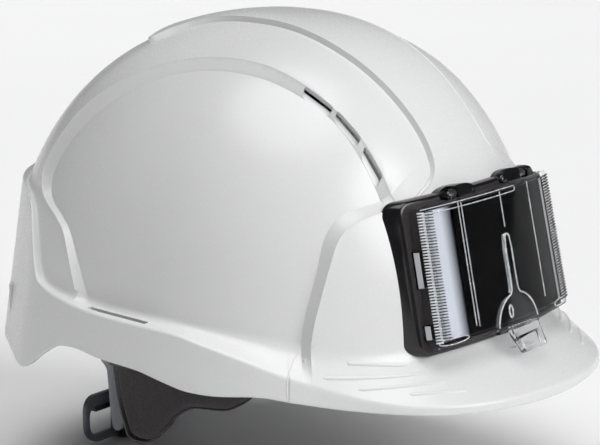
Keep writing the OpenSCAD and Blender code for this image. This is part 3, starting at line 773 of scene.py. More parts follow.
# ------------------------------------------------------------ shell
VENTS = [
    [(46.6, -33.6, 120.0), (45.6, -48.0, 112.6), (48.2, -47.2, 108.6), (49.6, -34.6, 115.2)],
    [(45.2, -49.6, 111.4), (44.6, -61.4, 101.2), (47.4, -61.0, 97.0), (47.8, -49.6, 107.0)],
    [(45.0, -63.4, 98.2), (44.7, -72.6, 86.6), (48.0, -71.6, 81.2), (47.8, -63.8, 93.0)],
]
PEAK_RIBS = [
    [(-86, -62, 15.2), (-56, -93, 11.9)], [(-85.6, -72.4, 9.6), (-52, -100, 8.8)],
    [(-78, -84.5, 5.0), (-48, -107.5, 5.8)], [(-65, -101, 3.1), (-44.4, -115.5, 2.5)],
]
SIDE_LINE = [(-84.2, -60, 18.6), (-88, -59.4, 15.5), (-95.5, -61.5, 8.3), (-95.8, -61.8, 1.3)]
KEYS = [35, 90, 145, 215, 270, 325]


def key_at(p):
    """Radius and height of the pocket for a harness key at bearing p."""
    front = min(p, 360 - p) < 60
    z = 19.0 if front else 8.0
    if front:
        return float(dr(np.array([p]), np.array([30.0]))[0]) - WALL, z
    a, fz, ez, er, rz, rr, w = stations(np.array([float(p)]))
    return float(er[0] - WALL + pchip(DRAFT, a)[0] * (ez[0] - z - 8)), z


def key_box(name, p, lo, hi):
    """Block in a key's own frame: x outwards, y along the band, z up."""
    r, z = key_at(p)
    a = math.radians(p)
    o = np.array([-math.sin(a), -math.cos(a), 0])
    s = np.array([math.cos(a), -math.sin(a), 0])
    c = np.array([0, CY, z])
    ring = [c + o * (r + x) + s * y + np.array([0, 0, lo[2]]) for x, y in
            ((lo[0], lo[1]), (hi[0], lo[1]), (hi[0], hi[1]), (lo[0], hi[1]))]
    return prism(name, ring, (0, 0, 1), 0.0, hi[2] - lo[2])


def on_surface(o, points, n):
    """Path over a mesh between points, walked in bearing, radius and height."""
    p = np.array(points, float)
    a, r = np.arctan2(p[:, 0], p[:, 1] - CY), np.hypot(p[:, 0], p[:, 1] - CY)
    a = np.unwrap(a)
    k = np.linspace(0, len(p) - 1, n)
    i = np.arange(len(p))
    a, r, z = np.interp(k, i, a), np.interp(k, i, r), np.interp(k, i, p[:, 2])
    out = []
    for q in np.stack([r * np.sin(a), CY + r * np.cos(a), z], -1):
        hit, loc, nor, _ = o.closest_point_on_mesh(Vector(q * MM))
        out.append((np.array(loc) / MM, np.array(nor)))
    return np.array([q for q, _ in out]), np.array([m for _, m in out])


def ridge_line(name, o, points, half, rise, n=24):
    """Low rounded rib that follows the surface."""
    path, nor = on_surface(o, points, n)
    t = unit(np.gradient(path, axis=0))
    side = unit(np.cross(t, nor))
    rings = []
    for i in range(len(path)):
        e = 1.0 if 0 < i < len(path) - 1 else 0.35
        rings.append(np.array([path[i] + side[i] * half * a * e + nor[i] * b * (e if b > 0 else 1) for a, b in
                               ((-1, -0.6), (-0.85, 0.1 * rise), (-0.45, 0.8 * rise), (0, rise), (0.45, 0.8 * rise),
                                (0.85, 0.1 * rise), (1, -0.6))]))
    return loft(name, rings, sharp=60)


def make_shell():
    P, T = shell_skin()
    o = mesh_object("shell_moulding", P, T, smooth=True)
    adds = [key_box("pocket", p, (-7.5, -13, 0), (1.4, 13, 13)) for p in KEYS]
    for s in (-1, 1):
        for r in PEAK_RIBS:
            adds.append(ridge_line("rib", o, [(x * -s, y, z) for x, y, z in r], 1.0, 0.55))
        adds.append(ridge_line("seam", o, [(x * -s, y, z) for x, y, z in SIDE_LINE], 0.42, 0.22))
    cut(o, join("adds", adds), op="UNION")
    # vents: pockets whose floor falls away under the upper edge into an open slit
    cuts = [key_box("slot", p, (-5.5, -9.5, -1), (-2.5, 9.5, 11)) for p in KEYS]
    slits = []
    for s in (-1, 1):
        for q in VENTS:
            q = to_dome(np.array(q, float) * [s, 1, 1])
            n = dome_n(q)
            floor = np.array([2.9, 2.9, RECESS + 0.5, RECESS + 0.5])[:, None]
            c = loft("vent", [soft_quad(q - n * floor, 6.0), soft_quad(q + n * 4.0, 6.0)])
            c.data.shade_flat()
            cuts.append(c)
            part = q * 1.0
            part[2], part[3] = q[1] + (q[2] - q[1]) * 0.3, q[0] + (q[3] - q[0]) * 0.3
            slits.append(loft("slit", [soft_quad(part - n * 7.0, 8.0), soft_quad(part - n * 1.0, 8.0)]))
            slits[-1].data.shade_flat()
        box = np.array([(-1.35, -16.4), (1.35, -16.4), (1.35, 16.4), (-1.35, 16.4)], float)
        a = math.radians(2 * s)
        ring = [(s * 106.7 + x * math.cos(a) - y * math.sin(a), 19 + x * math.sin(a) + y * math.cos(a), 16) for x, y in box]
        cuts.append(prism("slot", ring, (0, 0, 1), 0.0, 18.0))
    cut(o, join("cuts", cuts))
    cut(o, join("slits", slits))
    o.data.set_sharp_from_angle(angle=math.radians(26))
    return piece(o, "helmet", "shell_white", ("shell",))


# ------------------------------------------------------------ more mesh helpers
def tidy(o, smooth=True, sharp=35):
    """Outward normals and smooth shading with crisp creases."""
    bm = bmesh.new()
    bm.from_mesh(o.data)
    bmesh.ops.remove_doubles(bm, verts=bm.verts, dist=2e-7)
    bmesh.ops.recalc_face_normals(bm, faces=bm.faces)
    bm.to_mesh(o.data)
    bm.free()
    if smooth:
        o.data.shade_smooth()
        if sharp:
            o.data.set_sharp_from_angle(angle=math.radians(sharp))
    return o


def grid_faces(rows, cols, closed):
    f = []
    last = cols if closed else cols - 1
    for i in range(rows - 1):
        for j in range(last):
            k = (j + 1) % cols
            f.append((i * cols + j, i * cols + k, (i + 1) * cols + k, (i + 1) * cols + j))
    return f


def loft(name, rings, sharp=35, closed=False, uv=None):
    """Solid through rings of equally many points; open ends get flat caps."""
    n = len(rings[0])
    v = np.concatenate([np.asarray(r, float) for r in rings])
    f = grid_faces(len(rings), n, True)
    m = len(rings)
    if closed:
        f += [((m - 1) * n + j, (m - 1) * n + (j + 1) % n, (j + 1) % n, j) for j in range(n)]
    else:
        f += [tuple(range(n))[::-1], tuple((m - 1) * n + j for j in range(n))]
    o = mesh_object(name, v, f, smooth=False)
    if uv is not None:
        lay = o.data.uv_layers.new(name="UVMap")
        u = np.asarray(uv, float)
        for poly in o.data.polygons:
            for li in poly.loop_indices:
                lay.data[li].uv = u[o.data.loops[li].vertex_index]
    bm = bmesh.new()
    bm.from_mesh(o.data)
    big = [q for q in bm.faces if len(q.verts) > 4]
    bmesh.ops.triangulate(bm, faces=big)
    bmesh.ops.recalc_face_normals(bm, faces=bm.faces)
    bm.to_mesh(o.data)
    bm.free()
    o.data.shade_smooth()
    if sharp:
        o.data.set_sharp_from_angle(angle=math.radians(sharp))
    return o


def join(name, objects):
    """One object from several."""
    bm = bmesh.new()
    for o in objects:
        bm.from_mesh(o.data)
        bpy.data.objects.remove(o)
    me = bpy.data.meshes.new(name)
    bm.to_mesh(me)
    bm.free()
    return link(bpy.data.objects.new(name, me))


def soften(o, width=0.4, segments=2, angle=35):
    """Small rounded edges all over a moulded piece."""
    mod = o.modifiers.new("edge", "BEVEL")
    mod.width = width * MM
    mod.segments = segments
    mod.limit_method = "ANGLE"
    mod.angle_limit = math.radians(angle)
    mod.harden_normals = False
    evaluated(o)
    return tidy(o, sharp=angle)


def block(name, lo, hi):
    """Box between two corners, as a cutter or the start of a moulded piece."""
    (a, b, c), (d, e, f) = lo, hi
    ring = [(a, b, c), (d, b, c), (d, e, c), (a, e, c)]
    return prism(name, ring, (0, 0, 1), 0.0, f - c)


def tube(name, path, section, normal=None, closed=False, sharp=35):
    """Bar swept along a path of points; section is in (side, up) pairs."""
    p = np.asarray(path, float)
    t = np.gradient(p, axis=0)
    if closed:
        t = np.roll(p, -1, 0) - np.roll(p, 1, 0)
    t /= np.linalg.norm(t, axis=1)[:, None]
    up = np.broadcast_to(np.asarray(normal, float), p.shape)
    side = np.cross(t, up)
    side /= np.linalg.norm(side, axis=1)[:, None]
    up = np.cross(side, t)
    s = np.asarray(section, float)
    rings = [p[i] + side[i] * s[:, :1] + up[i] * s[:, 1:] for i in range(len(p))]
    return loft(name, rings, sharp=sharp, closed=closed)


# ------------------------------------------------------------ card holder
LEAN = math.radians(12.0)
BOW = 150.0          # radius of the cover's front
HINGE_V, HINGE_W = 31.2, -7.0


def hold(x, v, w):
    """Holder coordinates (across, up the cover, out of it) to the object's.
    The holder is a touch wider at its foot than at its top."""
    x, v, w = np.broadcast_arrays(np.asarray(x, float), np.asarray(v, float), np.asarray(w, float))
    return np.stack([x * (1 - 0.0004 * v), -106.2 + v * math.sin(LEAN) - w * math.cos(LEAN),
                     49 + v * math.cos(LEAN) + w * math.sin(LEAN)], -1)


def bent(s, v, w):
    """The same, with s measured along the bow."""
    s, v, w = np.broadcast_arrays(np.asarray(s, float), np.asarray(v, float), np.asarray(w, float))
    return hold((BOW + w) * np.sin(s / BOW), v, (BOW + w) * np.cos(s / BOW) - BOW)


def bow(x, r=BOW):
    return np.sqrt(r * r - np.asarray(x, float) ** 2) - BOW


def shell_w(x, v, o=RAISE):
    """Depth at which the line through x, v meets the dome, by halving."""
    x, v = np.broadcast_arrays(np.asarray(x, float), np.asarray(v, float))
    lo, hi = np.full(x.shape, -60.0), np.full(x.shape, 5.0)
    for _ in range(24):
        m = (lo + hi) / 2
        q = hold(x, v, m)
        b = np.where(q[..., 1] < CY, FR, RE) + o
        r = ((np.abs(q[..., 0]) / (HW + o)) ** PM + (np.abs(q[..., 1] - CY) / b) ** PM) ** (1 / PM)
        out = r ** PN + (np.maximum(q[..., 2], 0) / (HT + o)) ** PN - 1 > 0
        hi, lo = np.where(out, m, hi), np.where(out, lo, m)
    return (lo + hi) / 2


def rrect(hx, hy, r):
    """Rounded rectangle with a fixed number of points."""
    c = [(hx - r, hy - r, 0), (r - hx, hy - r, 90), (r - hx, r - hy, 180), (hx - r, r - hy, 270)]
    seg = [34, 12, 34, 12]
    pts = []
    for i, (cx, cy, a0) in enumerate(c):
        for j in range(9):
            a = math.radians(a0 + 90 * j / 8)
            pts.append((cx + r * math.cos(a), cy + r * math.sin(a)))
        nx, ny, na = c[(i + 1) % 4]
        p, a = pts[-1], math.radians(na)
        q = (nx + r * math.cos(a), ny + r * math.sin(a))
        pts += [(p[0] + (q[0] - p[0]) * k / seg[i], p[1] + (q[1] - p[1]) * k / seg[i]) for k in range(1, seg[i])]
    return np.array(pts)


def dish(name, levels, back, floor):
    """Closed moulding: outlines with depths, a back and a front that follow curved surfaces."""
    rings = []
    first, last = levels[0][0], levels[-1][0]
    for k in (0.12, 0.4, 0.7, 0.9):
        q = first * k
        rings.append(hold(q[:, 0], q[:, 1], back(q[:, 0], q[:, 1])))
    for q, w in levels:
        rings.append(hold(q[:, 0], q[:, 1], w(q[:, 0], q[:, 1])))
    for k in (0.96, 0.85, 0.6, 0.35, 0.12):
        q = last * k
        rings.append(hold(q[:, 0], q[:, 1], floor(q[:, 0], q[:, 1])))
    return loft(name, rings, sharp=32)


def face(r, d=0.0):
    return lambda x, v: bow(x, r) + d


def make_holder_base():
    wall = lambda x, v: shell_w(x, v) - 0.5
    foot = rrect(54.4, 32.2, 6.5) + np.array([0, 0.6])
    body = dish("holder_moulding", [
        (foot, wall),
        (rrect(53.2, 32.4, 6.0) + np.array([0, 0.3]), lambda x, v: 0.55 * (shell_w(x, v)) + 0.45 * bow(x, 144.1)),
        (rrect(52.0, 32.3, 5.4), face(144.1, -1.3)),
        (rrect(51.8, 32.1, 5.2), face(144.1, -0.7)),
        (rrect(51.4, 31.8, 5.0), face(144.1, -0.25)),
        (rrect(50.8, 31.3, 4.6), face(144.1)),
        (rrect(47.8, 30.2, 3.4), face(144.1)),
        (rrect(47.7, 30.1, 3.3), face(144.1, -0.3)),
        (rrect(47.5, 30.0, 3.2), face(144.1, -1.0)),
    ], wall, face(144.1, -1.0))
    # low humps over the hinge, with a slot for each ear of the cover
    for s in (-1, 1):
        n = 40
        hump = []
        for d, w in ((0.0, -14.5), (0.0, -5.6), (0.25, -5.0), (0.8, -4.5), (1.6, -4.3)):
            ring = []
            for i in range(n):
                a = 2 * math.pi * i / n
                c, e = math.cos(a), math.sin(a)
                x = (10.6 - d) * math.copysign(abs(c) ** 0.85, c)
                v = (3.6 - d) * e if e > 0 else 3.0 * e
                ring.append(hold(s * 20.2 + x, 31.0 + v, w))
            hump.append(np.array(ring))
        cut(body, loft("hump", hump), op="UNION")
    for s in (-1, 1):
        ring = [hold(s * 26.6 + a, b, -9.8) for a, b in ((-2.7, 28.6), (2.7, 28.6), (2.7, 37), (-2.7, 37))]
        cut(body, prism("slot", ring, unit(hold(0, 0, 1) - hold(0, 0, 0)), 0.0, 12.0))
    tidy(body, sharp=32)
    piece(body, "helmet", "holder_black", ("holder_base",))

    tray = dish("holder_tray", [
        (rrect(50.6, 31.1, 4.5), face(144.1, -1.6)),
        (rrect(50.5, 31.0, 4.4), face(144.1, 0.05)),
        (rrect(50.1, 30.6, 4.2), face(144.1, 0.2)),
        (rrect(47.2, 29.6, 3.2), face(144.1, 0.2)),
        (rrect(46.9, 29.4, 3.0), face(147.6, -0.5)),
        (rrect(46.5, 29.1, 2.8), face(147.6, -0.05)),
        (rrect(44.9, 28.3, 2.3), face(147.6, -0.05)),
        (rrect(44.5, 28.0, 2.1), face(147.6, -0.5)),
        (rrect(44.3, 27.8, 2.0), face(146.2)),
    ], face(144.1, -1.6), face(146.2))
    out = unit(hold(0, 0, 1) - hold(0, 0, 0))
    for s in (-1, 1):
        for v0, v1 in ((-4.0, 11.5), (-25.5, -19.0)):
            ring = [hold(s * x, v, -14.4) for x, v in ((44.0, v0), (50.2, v0), (50.2, v1), (44.0, v1))]
            cut(tray, prism("window", ring, out, 0.0, 8.0))
    tidy(tray, sharp=32)
    piece(tray, "helmet", "holder_black", ("holder_base",))
    tray.data.materials.clear()
    tray.data.materials.append(plastic("holder_tray", (0.028, 0.024, 0.026), (0.036, 0.031, 0.033), 0.5, 1500.0, 0.00002, 50.0, spec=0.25))


def plate_section(half, wall_w=-5.3, i=0.0):
    """Cross-section of the clear cover with its end walls, inset by i."""
    k = half / 51.6
    h = half - i
    flare = 1.5 if wall_w < -4 else 0.0
    pts = [(-h - flare, wall_w + i), (-h - flare * 0.35, -2.8), (-h, -1.4 - i * 0.3)]
    for a in (22.5, 45, 67.5):
        t = math.radians(a)
        pts.append((-h + 1.4 * (1 - math.cos(t)), -1.4 + 1.4 * math.sin(t) - i))
    top = np.linspace(-(half - 1.5), half - 1.5, 52)
    pts += [(s, -i) for s in top]
    pts += [(-x, y) for x, y in pts[5::-1]]
    inner = [(h - 1.6 + flare, wall_w + i), (h - 1.6 + flare * 0.45, -3.2), (h - 1.75, -2.4), (h - 2.5, -1.85 + i)]
    inner += [(s, -1.8 + i) for s in np.linspace(half - 3.2, 3.2 - half, 34)]
    inner += [(-x, y) for x, y in inner[3::-1]]
    return np.array(pts + inner)


def plate(name, half, v0, v1, wall_w=-5.3, corner=2.2):
    rings = []
    steps = [(0.0, 0.42), (0.12, 0.16), (0.4, 0.0), (0.9, 0.0), (1.5, 0.0), (corner, 0.0)]
    rows = [(v0 + d, i, d) for d, i in steps] + [(v1 - d, i, d) for d, i in steps[::-1]]
    for v, i, d in rows:
        cut_in = corner - math.sqrt(max(0.0, corner ** 2 - (corner - d) ** 2)) if d < corner else 0.0
        sec = plate_section(half - cut_in, wall_w, i)
        rings.append(bent(sec[:, 0], v, sec[:, 1]))
    return loft(name, rings, sharp=30)


def bead(name, path, width=0.7, height=0.3, closed=False):
    """Thin half-round line standing on the cover's face, along a path in (s, v)."""
    p = np.asarray(path, float)
    t = np.roll(p, -1, 0) - np.roll(p, 1, 0) if closed else np.gradient(p, axis=0)
    t /= np.linalg.norm(t, axis=1)[:, None]
    n = np.stack([-t[:, 1], t[:, 0]], -1)
    sec = [(-0.5, -0.5), (-0.46, 0.2), (-0.3, 0.75), (0.0, 1.0), (0.3, 0.75), (0.46, 0.2), (0.5, -0.5)]
    rings = [bent(p[i, 0] + n[i, 0] * np.array([a * width for a, _ in sec]),
                  p[i, 1] + n[i, 1] * np.array([a * width for a, _ in sec]),
                  np.array([b * height for _, b in sec])) for i in range(len(p))]
    return loft(name, rings, sharp=50, closed=closed)


def straight(a, b, n=10):
    return np.linspace(np.array(a, float), np.array(b, float), n)


def latch_outline(g):
    """Tongue over a round thumb pad, as (x, v) points."""
    pts = []
    r = 15.4 - g
    for a in np.linspace(184, 104, 22):
        pts.append((r * math.cos(math.radians(a)), -30 + r * math.sin(math.radians(a))))
    pts += [(-(3.3 - g), -14.2), (-(3.0 - g), -12.6)]
    pts += [(-(2.9 - g), v) for v in (-8, -2, 4)]
    for a in np.linspace(180, 0, 13):
        pts.append(((2.4 - g) * math.cos(math.radians(a)), 7.9 + (2.4 - g) * math.sin(math.radians(a))))
    return np.array(pts + [(-x, v) for x, v in pts[26::-1]])


def card_with_painted_shade():
    """Blank card with painted shade: it darkens towards the black insert."""
    m, nt, b = nodes_of("card_painted_shade")
    tc = nt.nodes.new("ShaderNodeTexCoord")
    sp = nt.nodes.new("ShaderNodeSeparateXYZ")
    nt.links.new(tc.outputs["Object"], sp.inputs[0])
    # painted shade: over the last 5.5 mm before the insert the card's colour is mixed towards near black
    painted_shade_ramp = spread(nt, sp.outputs["X"], 0, 1, -0.0355, -0.0300)
    tone = spread(nt, noise(nt, 50.0, 3.0), 0.98, 1.0)
    light = two_colours(nt, tone, (0.62, 0.65, 0.72), (0.66, 0.69, 0.76))
    mx = nt.nodes.new("ShaderNodeMix")
    mx.data_type = "RGBA"
    nt.links.new(light, mx.inputs["A"])
    mx.inputs["B"].default_value = (0.02, 0.02, 0.03, 1)
    nt.links.new(painted_shade_ramp, mx.inputs["Factor"])
    nt.links.new(mx.outputs["Result"], b.inputs["Base Color"])
    b.inputs["Roughness"].default_value = 0.35
    bump(nt, b, noise(nt, 2500.0, 3.0), 0.3, 0.00001)
    return m


LINES = {}


def dress(o, name):
    """Marks on the clear plastic: pale, partly opaque lines and ribs are painted highlight, dark ribs are painted
    shade.
    """
    if not LINES:
        # pale, partly opaque plastic for the raised lines: painted highlight
        LINES["line_painted_highlight"] = clear_plastic("line_painted_highlight", (0.85, 0.87, 0.9), 0.25, 1.45, 0.45)
        # dark, nearly opaque ribs: painted shade
        LINES["grip_painted_shade"] = clear_plastic("grip_painted_shade", (0.06, 0.06, 0.065), 0.25, 1.4, 0.1)
        LINES["hook_clear"] = clear_plastic("hook_clear", (0.97, 0.98, 0.99), 0.05, 1.06)
        # pale, nearly opaque ribs: painted highlight
        LINES["grip_painted_highlight"] = clear_plastic("grip_painted_highlight", (0.8, 0.82, 0.85), 0.3, 1.45, 0.12)
    o.data.materials.clear()
    o.data.materials.append(LINES[name])


def make_cover():
    out = unit(hold(0, 0, 1) - hold(0, 0, 0))
    c = plate("holder_lens", 51.6, -29.5, 29.5)
    # raised lines on the face
    marks = []
    lines = [straight((-27.9, -24), (-27.9, 28), 8), straight((-26.1, -24.5), (-26.1, 27.5), 8),
             straight((-0.2, 12.5), (-0.2, 27.6), 6), straight((24.3, -22), (24.3, 28), 8)]
    marks += [bead("line", q, 0.5, 0.26) for q in lines]
    loop = [(-48.5, 28.2)] + [(s, 28.2) for s in range(-46, 12, 2)]
    loop += [(11 + 1.1 * math.sin(math.radians(a)), 27.1 + 1.1 * math.cos(math.radians(a))) for a in range(20, 180, 20)]
    loop += [(s, 26.0) for s in range(10, -48, -2)] + [(-48.5, 26.0)]
    marks.append(bead("loop", loop, 0.42, 0.26))
    for s in (-1, 1):
        ring = [(s * 41 + 8 * math.cos(math.radians(a)), -27.3 + 1.35 * math.sin(math.radians(a))) for a in range(0, 360, 15)]
        marks.append(bead("end_loop", ring, 0.5, 0.3, closed=True))
    # the gap round the latch
    o = latch_outline(0)
    ring = hold(np.append(o[:, 0], [15.0, -15.0]), np.append(o[:, 1], [-36.0, -36.0]), -12)
    cut(c, prism("gap", ring, out, 0.0, 20.0))
    # ears that reach back to the hinge
    for s in (-1, 1):
        x = s * 26.6
        w1 = float(bow(28.8)) - 0.2
        sec = []
        for a in np.linspace(100, 330, 15):
            sec.append((HINGE_V + 2.4 * math.cos(math.radians(a - 90)), HINGE_W - 2.4 * math.sin(math.radians(a - 90))))
        side = [(28.9, w1 - 1.2), (28.9, w1), (32.2, w1), (33.0, w1 - 0.9)]
        pts = [(28.9, HINGE_W + 1.0)] + side + [(33.6, HINGE_W + 0.4), (33.3, HINGE_W - 1.2), (32.2, HINGE_W - 2.2),
               (31.0, HINGE_W - 2.4), (29.7, HINGE_W - 1.9), (28.9, HINGE_W - 0.7)]
        ear = loft("ear", [np.array([hold(x + e, v, w) for v, w in pts]) for e in (-2.1, -1.9, 1.9, 2.1)])
        cut(c, ear, op="UNION")
    tidy(c, sharp=28)
    m = join("lens_lines", marks)
    m.data.shade_smooth()
    piece(m, "cover", "clear_cover", ("holder_cover",))
    # the raised lines take the pale line material: painted highlight
    dress(m, "line_painted_highlight")
    # grip ribs in two rows along both ends; dark ribs are painted shade, pale ribs are painted highlight
    for s in (-1, 1):
        side = "left" if s > 0 else "right"
        for row, a, b, w in (("inner", 42.6, 46.5, 0.5), ("outer", 47.1, 51.9 if s > 0 else 50.3, 0.66)):
            ribs = [bead("rib", straight((s * a, i * 1.22), (s * b, i * 1.22 + 0.35), 4), w, 0.6) for i in range(-22, 23)]
            g = join("lens_grip_%s_%s" % (row, side), ribs)
            g.data.shade_smooth()
            piece(g, "cover", "clear_cover", ("holder_cover",))
            dress(g, "grip_painted_highlight" if s < 0 and row == "outer" else "grip_painted_shade")
    return piece(c, "cover", "clear_cover", ("holder_cover",))


def make_latch():
    out = unit(hold(0, 0, 1) - hold(0, 0, 0))
    t = plate("holder_latch", 24.0, -30.8, 14.0, wall_w=-2.6, corner=0.6)
    o = latch_outline(0.4)
    ring = hold(np.append(o[:, 0], [14.6, -14.6]), np.append(o[:, 1], [-36.0, -36.0]), -12)
    cut(t, prism("outline", ring, out, 0.0, 20.0), op="INTERSECT")
    edge = latch_outline(0.8)
    keep = (edge[:, 1] > -29.0)
    marks = [bead("pad_edge", edge[keep], 0.75, 0.36)]
    marks += [bead("mark", straight((x, -28.9), (x + 1.1, -28.9), 3), 0.6, 0.4) for x in np.arange(-9, 8.1, 2.25)]
    # small pale ring on the pad: a painted highlight standing for a lens-shaped reflection
    glint_ring = [(1.2 * math.sin(math.radians(a)) - 5.2, -22.6 + 2.6 * math.cos(math.radians(a))) for a in range(0, 360, 20)]
    marks.append(bead("glint_ring", glint_ring, 0.9, 0.3, closed=True))
    m = join("latch_lines", marks)
    m.data.shade_smooth()
    piece(m, "latch", "clear_latch", ("thumb_latch",))
    # the raised lines and grip marks take the pale line material: painted highlight
    dress(m, "line_painted_highlight")
    # thumb loop that stands out below the pad
    a = math.radians(22)

    def tilt(p, w):
        p = np.array(p, float)
        return hold(p[:, 0], -30.8 + p[:, 1] * math.cos(a) + w * math.sin(a), 1.3 - p[:, 1] * math.sin(a) + w * math.cos(a))
    outer = [(-9.9, 1.0), (9.9, 1.0), (9.8, -2.2), (9.5, -3.4), (8.5, -8.6), (7.9, -9.4), (7.0, -9.8),
             (-7.0, -9.8), (-7.9, -9.4), (-8.5, -8.6), (-9.5, -3.4), (-9.8, -2.2)]
    inner = [(-7.7, -3.0), (7.7, -3.0), (7.8, -3.7), (6.8, -7.6), (6.2, -8.1), (-6.2, -8.1), (-6.8, -7.6), (-7.8, -3.7)]
    ringo = loft("thumb", [tilt(outer, w) for w in (-1.2, 1.4)])
    hole = loft("window", [tilt(inner, w) for w in (-4.0, 4.0)])
    cut(ringo, hole)
    soften(ringo, 0.45, 2, 30)
    cut(t, ringo, op="UNION")
    leg = loft("leg", [np.array([hold(x, v, w) for v, w in ((-38.3, -4.9), (-34.6, -4.9), (-34.6, -3.7), (-36.7, -3.7),
                                                           (-36.7, 2.6), (-38.3, 3.0))]) for x in (-4.4, 4.4)])
    leg.name = "latch_hook"
    piece(leg, "latch", "clear_latch", ("thumb_latch",))
    dress(leg, "hook_clear")
    tidy(t, sharp=28)
    return piece(t, "latch", "clear_latch", ("thumb_latch",))


def make_card():
    rows = np.array([-27, -26.8, -14, 0, 14, 26.8, 27])
    s = np.linspace(-43.2, 43.2, 46)
    rings = []
    for v in rows:
        top = [(a, -2.46) for a in s]
        bottom = [(a, -3.1) for a in s[::-1]]
        rings.append(bent([p[0] for p in top + bottom], v, [p[1] for p in top + bottom]))
    card = loft("blank_card", rings, sharp=30)
    tabs = []
    for e in (-1, 1):
        for v0, v1 in ((-3.6, 11.1), (-25.1, -19.4)):
            q = [(49.9, -3.0), (50.1, -3.0), (51.2, -5.3), (50.7, -5.3)]
            tabs.append(loft("tab", [bent([e * a for a, _ in q], v, [b for _, b in q]) for v in (v0, v1)]))
    lights = join("window_tabs", tabs)
    lights.data.shade_smooth()
    lights.data.set_sharp_from_angle(angle=math.radians(30))
    piece(lights, "helmet", "card_white", ("id_card",))
    tidy(card, sharp=30)
    piece(card, "helmet", "card_white", ("id_card",))
    # the card takes the material with painted shade beside the insert
    card.data.materials.clear()
    card.data.materials.append(card_with_painted_shade())

    margins = []
    for e in (-1, 1):
        q = [(43.5, -2.42), (43.5, -2.26), (46.4, -2.26), (46.4, -2.42)]
        margins.append(loft("margin", [bent([e * a for a, _ in q], v, [b for _, b in q]) for v in np.linspace(-26.5, 26.5, 7)]))
    m = join("card_margins", margins)
    m.data.shade_smooth()
    m.data.set_sharp_from_angle(angle=math.radians(30))
    piece(m, "helmet", "card_white", ("id_card",))

    s = np.concatenate([[-30.6, -30.3, -29.6, -28.4, -26.8], np.linspace(-25, 42.6, 36), [44.5, 46.5, 48.0, 49.2]])
    lift = np.interp(s, [-30.6, -30.3, -29.6, -28.4, -26.8], [0.38, 0.46, 0.42, 0.2, 0.0])
    rings = [bent(np.concatenate([s, s[::-1]]), v, np.concatenate([-2.28 + lift, (-2.44 + lift)[::-1]]))
             for v in (-26.8, -26.6, -10, 10, 26.6, 26.8)]
    ins = loft("black_insert", rings, sharp=60)
    piece(ins, "helmet", "insert_black", ("card_insert",))


shell = make_shell()
make_holder_base()
lens = make_cover()
latch = make_latch()
make_card()


# ------------------------------------------------------------ harness
BAND_LOW = [[0, -8], [54, -7], [60, -8], [65, -13], [71, -17], [81, -18], [88, -23], [92, -29], [97, -35.5], [100, -38],
            [103, -39], [107, -38], [110, -29], [112, -19], [113, -9]]
BAND_HIGH = [[0, 20], [80, 20], [97, 18], [108, 8], [113, -3]]


def hb_r(q):
    q = np.radians(np.asarray(q, float))
    c, s = np.cos(q), np.abs(np.sin(q))
    front = 1 / np.sqrt((s / 80) ** 2 + (c / 99) ** 2)
    rear = 1 / ((s / 80) ** 3 + (np.abs(c) / 94) ** 3) ** (1 / 3)
    return np.where(c > 0, front, rear)


class Band:
    """The headband's outline, unrolled: distance along it against height."""

    def __init__(self):
        self.a = np.arange(-113, 113.01, 0.5)
        x, y = self.a, hb_r(self.a)
        q = np.stack([y * np.sin(np.radians(x)), y * np.cos(np.radians(x))], -1)
        self.s = np.concatenate([[0], np.cumsum(np.linalg.norm(np.diff(q, axis=0), axis=1))])
        self.lo, self.hi = pchip(BAND_LOW, np.abs(self.a)), pchip(BAND_HIGH, np.abs(self.a))
        low = np.stack([self.s, self.lo], -1)
        high = np.stack([self.s, self.hi], -1)
        self.edge = np.concatenate([low, high[::-1], low[:1]])

    def inside(self, s, z):
        """Distance from points to the outline."""
        p = np.stack([np.ravel(s), np.ravel(z)], -1)
        a, b = self.edge[:-1], self.edge[1:]
        ab = b - a
        ll = np.maximum((ab ** 2).sum(-1), 1e-9)
        out = np.empty(len(p))
        for k in range(0, len(p), 2000):
            w = p[k:k + 2000, None, :] - a[None]
            t = np.clip((w * ab[None]).sum(-1) / ll[None], 0, 1)
            out[k:k + 2000] = np.linalg.norm(w - t[..., None] * ab[None], axis=-1).min(1)
        return out.reshape(np.shape(s))


band = Band()


def strip(name, a, front, rear, rows_f, sharp=None, ends=True):
    """Closed strip: a front and a rear skin over the same columns of rows."""
    nc, nr = front.shape[:2]
    v = np.concatenate([front.reshape(-1, 3), rear.reshape(-1, 3)])
    f = []
    n = nc * nr
    for i in range(nc - 1):
        for j in range(nr - 1):
            k = i * nr + j
            f.append((k, k + nr, k + nr + 1, k + 1))
            f.append((n + k, n + k + 1, n + k + nr + 1, n + k + nr))
        f.append((i * nr, n + i * nr, n + (i + 1) * nr, (i + 1) * nr))
        f.append((i * nr + nr - 1, (i + 1) * nr + nr - 1, n + (i + 1) * nr + nr - 1, n + i * nr + nr - 1))
    for i in (0, nc - 1):
        for j in range(nr - 1):
            k = i * nr + j
            f.append((k, k + 1, n + k + 1, n + k) if i == 0 else (k, n + k, n + k + 1, k + 1))
    return tidy(mesh_object(name, v, f, smooth=True), sharp=sharp)


def rim_width(a):
    """Width of the glossy rim: broad up the wing's rear edge, thin along its foot."""
    return 0.9 + 1.7 * sst(97, 105, np.abs(a))


